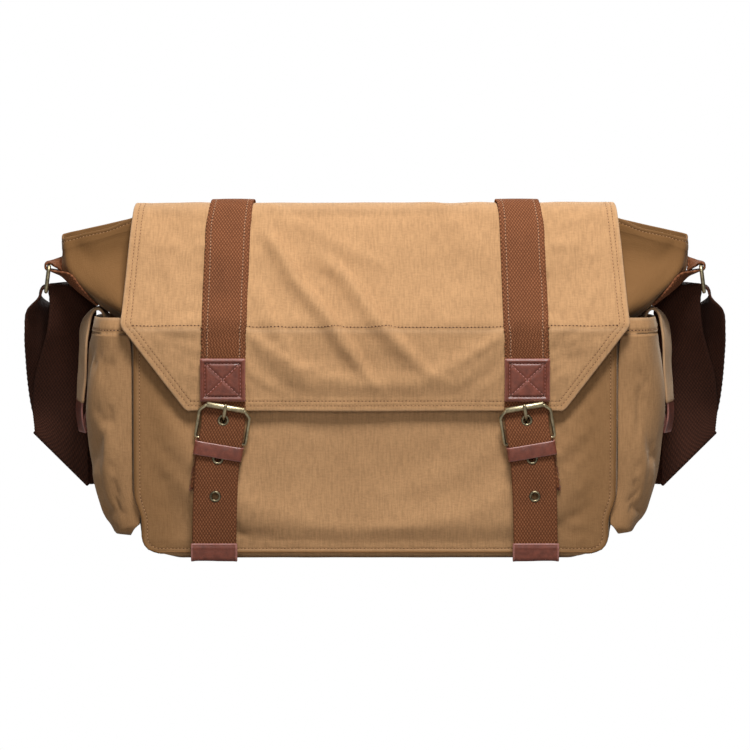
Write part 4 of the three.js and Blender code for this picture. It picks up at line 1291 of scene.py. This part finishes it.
def wall(side):
    name = "front_panel" if side < 0 else "back_panel"
    grid = wall_grid(side)
    x, z = grid[..., 0], grid[..., 2]
    grid = lift(grid, wall_relief(x, z, 40 + side))
    away = wall_away(x, z)
    calm = smooth(6, 30, away)[..., None]
    grid = grid + calm * settled(grid, (away < 10) | (z > 230), 0.01, SIM_REACH)
    wear = 0.3 * np.exp(-((away - 1.6) / 1.2) ** 2)
    # Darker along the stitch row and towards the bottom; the darkening towards the sides is painted shade.
    dirt = (0.3 * np.exp(-((away - WALL_STITCH) / 0.8) ** 2) + 0.2 * (1 - smooth(0, 20, z))
            + smooth(125, 200, abs(x)))
    made = piece(f"{name}_canvas", sheet(grid, CANVAS, wear, dirt, across=x), "canvas", "bag", (name,))
    columns = grid.shape[1]
    corner = []
    foot = BODY_HALF_WIDTH - FOOT_INSET
    for angle in np.linspace(0, math.pi / 2, 24):
        reach = CORNER - WALL_STITCH
        corner.append((foot - CORNER + reach * math.cos(angle), BODY_LOW + CORNER - reach * math.sin(angle)))
    path = [(side_width(zz) - WALL_STITCH, zz) for zz in np.linspace(292, BODY_LOW + CORNER, 120)]
    path = path + corner[1:] + [(xx, BODY_LOW + WALL_STITCH) for xx in np.linspace(foot - CORNER, 0, 100)[1:]]
    path = np.array(path + [(-xx, zz) for xx, zz in path[-2::-1]])
    ii = index_of(path[:, 1], z[:, 0])
    jj = []
    for i, xx in zip(ii, path[:, 0]):
        row = grid[int(round(i)), :, 0]
        jj.append(index_of(-side * xx, -side * row))
    runs = [on_grid(grid, CANVAS, ii, np.array(jj))]
    level = index_of(BODY_TOP - 19, z[:, 0])
    runs.append(on_grid(grid, CANVAS, level, np.linspace(8, columns - 9, 200)))
    seam(f"{name}_stitches", runs, THREAD_TAN, "bag", "canvas")


wall(-1)
wall(1)


def piping(side):
    """The corded seam where a wall meets the ends and the bottom."""
    turn = BODY_LOW + CORNER * (1 - np.sin(np.linspace(0.05, math.pi / 2, 14)))
    z = np.concatenate([np.linspace(300, BODY_LOW + CORNER, 110), turn])
    x = half_width(z)
    right = np.stack([x, z], axis=1)
    bottom = np.stack([np.linspace(x[-1], -x[-1], 160)[1:-1], np.full(158, BODY_LOW)], axis=1)
    line = np.concatenate([right, bottom, right[::-1] * (-1, 1)])
    y = side * (half_depth(line[:, 1]) - 0.6)
    path = np.stack([line[:, 0] * 1.0015, y, line[:, 1] - 0.3], axis=1)
    run = lengths(path)
    path = resampled(path, np.linspace(0, run[-1], int(run[-1] / 2.6)))
    bead = 1.3 + 0.12 * noise(np.arange(len(path)) * 2.6, np.zeros(len(path)), 7, 30)
    made = tube(path, bead, 10, start=(0, 1, 0))
    # Painted shade: the whole piping is darkened, as the seam lies in shade.
    made.marks["dirt"] = np.full(len(made.points), 1.2)
    return made


for side, name in ((-1, "front_piping"), (1, "back_piping")):
    piece(name, piping(side), "canvas", "bag")


# ---------------------------------------------------------------- end walls and their wings
def gusset_grid(seed):
    share = np.concatenate([np.linspace(0, 0.94, 86), 1 - EDGE[::-1] / (BODY_TOP - BODY_LOW)])
    share = np.unique(np.round(share, 5))
    t = (1 - np.cos(np.linspace(0, np.pi, 57))) / 2
    tt, ss = np.meshgrid(t, share)
    front_low = 4.6 * smooth(0.44, 0.6, tt) * (1 - smooth(0.93, 1, tt))
    top = BODY_TOP - WING_SAG * fold_shape(tt, BODY_TOP) - front_low
    z = BODY_LOW + ss * (top - BODY_LOW)
    y = half_depth(z) * (1 - 2 * tt)
    grid = np.stack([gusset_x(y, z), y, z], axis=-1)
    grid = lift(grid, np.ones(tt.shape))
    from_top = (1 - ss) * (BODY_TOP - BODY_LOW)
    h = 0.5 * (1 - smooth(11, 13, from_top)) - 0.45 * np.exp(-((from_top - 3.4) / 0.9) ** 2)
    h = h + 0.3 * noise(tt * 150, from_top, 6, seed) * np.exp(-((from_top - 4) / 5) ** 2)
    inner = smooth(0.0, 0.16, tt) * (1 - smooth(0.84, 1.0, tt)) * smooth(3, 22, from_top)
    wing = smooth(190, 250, z)
    h = h + inner * (1.6 * noise(tt * 170, z, 42, seed + 1) + 0.4 * noise(tt * 170, z, 17, seed + 2))
    arc = tt * 150
    for start, end, width, height in (
            ((96, 292), (138, 222), 8, 2.6), ((84, 262), (122, 205), 8, 2.0),
            ((110, 300), (146, 262), 7, -1.6), ((52, 292), (12, 222), 8, 2.4),
            ((66, 262), (28, 205), 8, 2.0), ((40, 300), (4, 262), 7, -1.5),
            ((75, 246), (75, 190), 9, -1.8)):
        h = h + crease(arc, z, start, end, width, height) * wing
    return lift(grid, h), from_top


def end_wall(side, sign):
    grid, from_top = gusset_grid(60 + sign)
    wear = 0.8 * (1 - smooth(0.5, 3, from_top))
    # Painted shade: the whole end wall is darkened, a little more along its top stitch row.
    dirt = 1.5 + 0.1 * np.exp(-((from_top - 3.4) / 1.1) ** 2)
    made = piece(f"gusset_{side}_canvas", sheet(grid, CANVAS, wear, dirt), "canvas", "bag", (f"gusset_{side}",),
                 mirror=sign < 0)
    level = index_of(-3.4, -from_top[:, 0])
    runs = [on_grid(grid, CANVAS, level, np.linspace(0.5, 55.5, 200))]
    seam(f"gusset_{side}_stitches", runs, THREAD_TAN, "bag", "canvas", mirror=sign < 0)


for side, sign in SIDES.items():
    end_wall(side, sign)


# ---------------------------------------------------------------- bottom, board and inner pocket
def flat_cloth(name, half_x, half_y, z, thick, material, node, seed):
    x = np.linspace(-half_x, half_x, 120)
    y = np.linspace(-half_y, half_y, 44)
    xx, yy = np.meshgrid(x, y)
    rim = np.maximum(smooth(0.86, 1, abs(xx) / half_x), smooth(0.86, 1, abs(yy) / half_y))
    grid = np.stack([xx, yy, z + 0.18 * noise(xx, yy, 26, seed) + 4.6 * rim**2], axis=-1)
    return piece(name, sheet(grid, thick, across=xx), material, "bag", (node,))


flat_cloth("bottom_canvas", 196, 66.5, 1.5, 2.2, "canvas", "bottom_panel", 71)
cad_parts["base_board"].data.materials.clear()
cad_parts["base_board"].data.materials.append(FINISHES["board"])


def inner_pocket():
    z = np.linspace(70, 200, 50)
    x = np.linspace(150, -150, 100)
    xx, zz = np.meshgrid(x, z)
    sag = 3.5 * smooth(120, 200, zz) * (1 - (xx / 150) ** 2)
    yy = half_depth(zz) - 7.0 - sag + 0.6 * noise(xx, zz, 34, 77) * smooth(0, 20, 150 - abs(xx))
    grid = np.stack([xx, yy, zz], axis=-1)
    top = 200 - zz
    wear = 0.6 * (1 - smooth(0.5, 3, top))
    made = piece("inner_pocket_cloth", sheet(grid, LINING, wear), "canvas_inside", "bag", ("inner_pocket",))
    down, along = np.linspace(0, 49, 90), np.linspace(1, 98, 90)
    runs = [on_grid(grid[:, ::-1], LINING, rows, columns)
            for columns, rows in ((1.2, down), (97.8, down), (along, 1.0), (along, 45.0))]
    seam("inner_pocket_stitches", runs, THREAD_TAN, "bag", "canvas_inside")


inner_pocket()


def flap_facing():
    first = int(np.searchsorted(flap_s, KINK_S - 2))
    grid = flap[first:, 14:-14] - normals(flap)[first:, 14:-14] * (CLOTH / 2 + 0.25 + 0.5)
    made = piece("flap_facing_cloth", sheet(grid[:-8], 1.0), "canvas_inside", "flap", ("flap_facing",))


flap_facing()


# ---------------------------------------------------------------- end pockets
POCKET_TOP, POCKET_HALF, POCKET_STAND = 219, 65, 5.2
POCKET = ((22, 18.3), (30, 22.3), (44, 26.8), (67, 33.3), (110, 40.3), (190, 40.3), (POCKET_TOP, 33.3))


def pocket_grid(seed):
    knots = curve(POCKET, 300)
    levels = np.concatenate([np.full(8, 22.0), np.linspace(22.6, 206, 66), POCKET_TOP - EDGE[::-1]])
    bulge = np.interp(levels, knots[:, 0], knots[:, 1])
    bulge[:8] *= np.linspace(0.25, 0.97, 8)
    levels[:8] = np.linspace(20.4, 21.6, 8)
    angle = np.pi * (0.5 - 0.5 * np.cos(np.linspace(0, np.pi, 61)))
    angle = 0.5 * angle + 0.5 * np.linspace(0, np.pi, 61)
    aa, zz = np.meshgrid(angle, levels)
    stand = POCKET_STAND + 2.6 * smooth(180, POCKET_TOP, zz)
    drawn = FOOT_INSET * (1 - smooth(34, 62, zz)) * (1 - np.sin(aa) ** 0.5)
    out = BODY_HALF_WIDTH - drawn + stand + bulge[:, None] * np.sin(aa) ** 0.5
    half = np.minimum(POCKET_HALF, half_depth(zz) - 3)
    droop = 12 * (1 - smooth(22, 80, zz)) * (1 - np.sin(aa) ** 0.6)
    grid = np.stack([-out, half * np.cos(aa), zz + droop], axis=-1)
    grid = lift(grid, np.ones(aa.shape))
    arc = aa / np.pi * 170
    top = POCKET_TOP - zz
    h = 0.55 * (1 - smooth(11.5, 13.5, top)) - 0.5 * np.exp(-((top - 10) / 0.9) ** 2)
    h = h + 0.3 * noise(arc, top, 6, seed) * np.exp(-((top - 8) / 6) ** 2)
    body = smooth(12, 40, top)
    h = h + body * (2.6 * noise(arc, zz * 0.7, 34, seed + 1) + 0.7 * noise(arc, zz * 0.6, 15, seed + 2))
    for start, end, width, height in (((28, 40), (12, 120), 7, 2.0), ((142, 40), (158, 120), 7, 2.0),
                                      ((60, 30), (40, 90), 9, 1.8), ((110, 30), (130, 90), 9, 1.8)):
        h = h + crease(arc, zz, start, end, width, height)
    grid = lift(grid, h)
    held = (top < 14) | (zz < 26) | (arc < 8) | (arc > 162)
    calm = smooth(13, 40, top) * smooth(22, 44, zz)
    return grid + calm[..., None] * settled(grid, held, 0.015, SIM_REACH), top, arc


for side, sign in SIDES.items():
    flip = sign < 0
    grid, top, arc = pocket_grid(80 + 7 * sign)
    wear = 0.85 * (1 - smooth(0.6, 2.6, top))
    # Painted shade darkens the whole pocket; it is darker still along its hem stitches and towards its bottom.
    dirt = 0.5 + 0.5 * np.exp(-((top - 10) / 1.1) ** 2) + 0.35 * (1 - smooth(20, 60, grid[..., 2]))
    made = piece(f"side_pocket_{side}_canvas", sheet(grid, CANVAS, wear, dirt), "canvas", "bag",
                 (f"side_pocket_{side}",), mirror=flip)
    level = index_of(-10, -top[:, 0])
    runs = [on_grid(grid, CANVAS, level, np.linspace(1, 59, 160))]
    seam(f"side_pocket_{side}_stitches", runs, THREAD_TAN, "bag", "canvas", mirror=flip)


# ---------------------------------------------------------------- pocket tabs and their loops
TAB_HALF, TAB_YAW = 16, 0.3
TAB_LINE = [
    (-250.2, 214), (-250.9, 221), (-253.4, 225.6), (-257, 227.4), (-260.6, 226.6), (-265.4, 222.8),
    (-269, 217), (-271.6, 207), (-273, 190), (-273.6, 172), (-275, 155), (-276, 140),
]
TIP_LINE = [(-275.8, 142), (-276.8, 130), (-275.6, 120), (-273.6, 111)]
LOOP_LINE = [(-264.6, 134), (-268.6, 131.5), (-271.4, 126), (-271.8, 120), (-270, 113), (-264.6, 107)]


def cross_strip(line, half, count, columns, yaw=0.0, seed=1, wave=0.6):
    """A strip whose middle runs along (x, z) points and whose width runs from front to back."""
    spine = curve(line, count)
    t = np.linspace(1, -1, columns)
    grid = np.zeros((count, columns, 3))
    grid[..., 0] = spine[:, :1] + yaw * half * -t[None]
    grid[..., 1] = t[None] * half
    grid[..., 2] = spine[:, 1:]
    ss, tt = np.meshgrid(lengths(spine), t * half, indexing="ij")
    return lift(grid, wave * noise(ss, tt, 16, seed)), ss, tt


for side, sign in SIDES.items():
    flip = sign < 0
    grid, ss, tt = cross_strip(TAB_LINE, TAB_HALF, 70, 21, 0, 90 + sign)
    turn = smooth(12, 40, ss)
    grid[..., 0] += -TAB_YAW * tt * turn
    away = TAB_HALF - abs(tt)
    grid = lift(grid, 0.4 * np.exp(-((away - 1.5) / 1.3) ** 2) - 0.3 * np.exp(-((away - 3.4) / 0.9) ** 2))
    wear = 0.8 * (1 - smooth(0.5, 2.5, away))
    piece(f"pocket_tab_{side}_canvas", sheet(grid, TAB_CANVAS, wear), "canvas",
          ("bag", f"tab_{side}", (-sign * 256.4, 0, 227), (-sign * 265.4, 0, 222.8)),
          (f"tab_anchor_{side}", f"pocket_tab_{side}"), mirror=flip)
    at = np.linspace(24, 67, 90)
    inset = 20 * 3.4 / 32
    runs = [on_grid(grid, TAB_CANVAS, at, column) for column in (inset, 20 - inset)]
    seam(f"pocket_tab_{side}_stitches", runs, THREAD_TAN, f"tab_{side}", "canvas", mirror=flip)
    grid, ss, tt = cross_strip(TIP_LINE, 13, 24, 17, TAB_YAW, 95 + sign, 0.3)
    taper = 1 - 0.35 * smooth(14, 31, ss) ** 2
    grid[..., 1] *= taper
    away = np.minimum(13 - abs(tt), lengths(grid[:, 8])[-1] - ss)
    wear = 0.9 * (1 - smooth(0.4, 1.8, away))
    piece(f"tab_tip_{side}_leather", sheet(grid, 1.8, wear, rim_wear=1.0), "leather", f"tab_{side}",
          (f"tab_tip_{side}",), mirror=flip)
    grid, ss, tt = cross_strip(LOOP_LINE, 7, 36, 13, 0.12, 97 + sign, 0.2)
    away = 7 - abs(tt)
    wear = 0.9 * (1 - smooth(0.4, 1.6, away))
    piece(f"tab_loop_{side}_leather", sheet(grid, 1.7, wear, rim_wear=1.0), "leather", "bag",
          (f"tab_loop_{side}",), mirror=flip)


# ---------------------------------------------------------------- rings and the tabs that hold them
RING_BAR, RING_LOW, RING_HALF, WIRE = (-304, 266), (-307, 243), 28, 1.8
RING_TAB_HALF = 23


def over_gusset(y, z, rise):
    x = gusset_x(y, z)
    slope_y = gusset_x(y + 0.5, z) - gusset_x(y - 0.5, z)
    slope_z = gusset_x(y, z + 0.5) - gusset_x(y, z - 0.5)
    n = unit(np.stack([-np.ones_like(x), slope_y, slope_z], axis=-1))
    return np.stack([x, y, z + 0 * x], axis=-1) + n * rise


def beside_ring(middle, y):
    """A point in line with the ring's bars."""
    return middle[0] - RING_SKEW * y, y, middle[1]


def ring_tab_grid():
    columns = np.linspace(RING_TAB_HALF, -RING_TAB_HALF, 25)

    def lying(z, reach=0.55, shift=0.0, rise=4.6, tilt=0.0):
        """A row on the end wall; with a tilt its back end lies higher than its front end."""
        reach = min(1, half_depth(np.array(float(z))) * reach / RING_TAB_HALF)
        return over_gusset(columns * reach + shift, z + tilt * columns / RING_TAB_HALF, rise)

    def flat(x, z):
        return np.stack([x - RING_SKEW * columns, columns, np.full(25, z)], axis=-1)

    radius = WIRE + 1.7
    turn = [flat(RING_BAR[0] + radius * math.cos(a), RING_BAR[1] + radius * math.sin(a))
            for a in np.linspace(1.5 * math.pi, 0.5 * math.pi, 12)]
    rows = [lying(z) for z in np.linspace(234, 254, 9)]
    between = [lying(259) * (1 - k) + turn[0] * k for k in (0.25, 0.5, 0.75)]
    after = [turn[-1] * (1 - k) + lying(272, 0.45, 4, 3.4, 9) * k for k in (0.3, 0.6)]
    end = [lying(z, 0.4, 5.5, 3.0, 9) for z in (273, 275, 277, 280)]
    grid = np.array(rows + between + turn + after + end)
    return curve(grid.reshape(len(grid), -1), 90).reshape(90, 25, 3)


for side, sign in SIDES.items():
    flip = sign < 0
    piece(f"ring_tab_{side}_webbing", sheet(ring_tab_grid(), 2.0), "webbing", "bag", (f"ring_tab_{side}",),
          mirror=flip)
    corners = [beside_ring(RING_BAR, -RING_HALF), beside_ring(RING_BAR, RING_HALF),
               beside_ring(RING_LOW, RING_HALF), beside_ring(RING_LOW, -RING_HALF)]
    loop = filled(rounded(corners, 4.0, 6), 1.2)
    piece(f"ring_{side}_loop", tube(loop, WIRE, 16, closed=True, start=(1, 0, 0)), "brass", f"ring_{side}",
          (f"ring_{side}",), mirror=flip)


def slider():
    """The adjuster: a rounded loop over the strap's ends and a middle bar under them."""
    middle, reach = (FOLD_HIGH + FOLD_LOW) / 2, STRAP_WIDE / 2 + 2.6
    low, high = middle - reach, middle + reach
    loop = [(-14, 81.4, low), (14, 81.4, low), (14, 81.4, high), (-14, 81.4, high)]
    outer = tube(filled(rounded(loop, 4.0), 1.2), 1.7, 12, closed=True, start=(0, 1, 0))
    bar = curve([(0, 81.2, middle - reach), (0, 79, middle - reach + 0.6), (0, 78.1, middle - reach + 3),
                 (0, 78.1, middle), (0, 78.1, middle + reach - 3), (0, 79, middle + reach - 0.6),
                 (0, 81.2, middle + reach)], 70)
    return outer + tube(bar, 1.5, 12, start=(1, 0, 0))


piece("strap_slider_loop", slider(), "brass", "bag", ("strap_slider",))
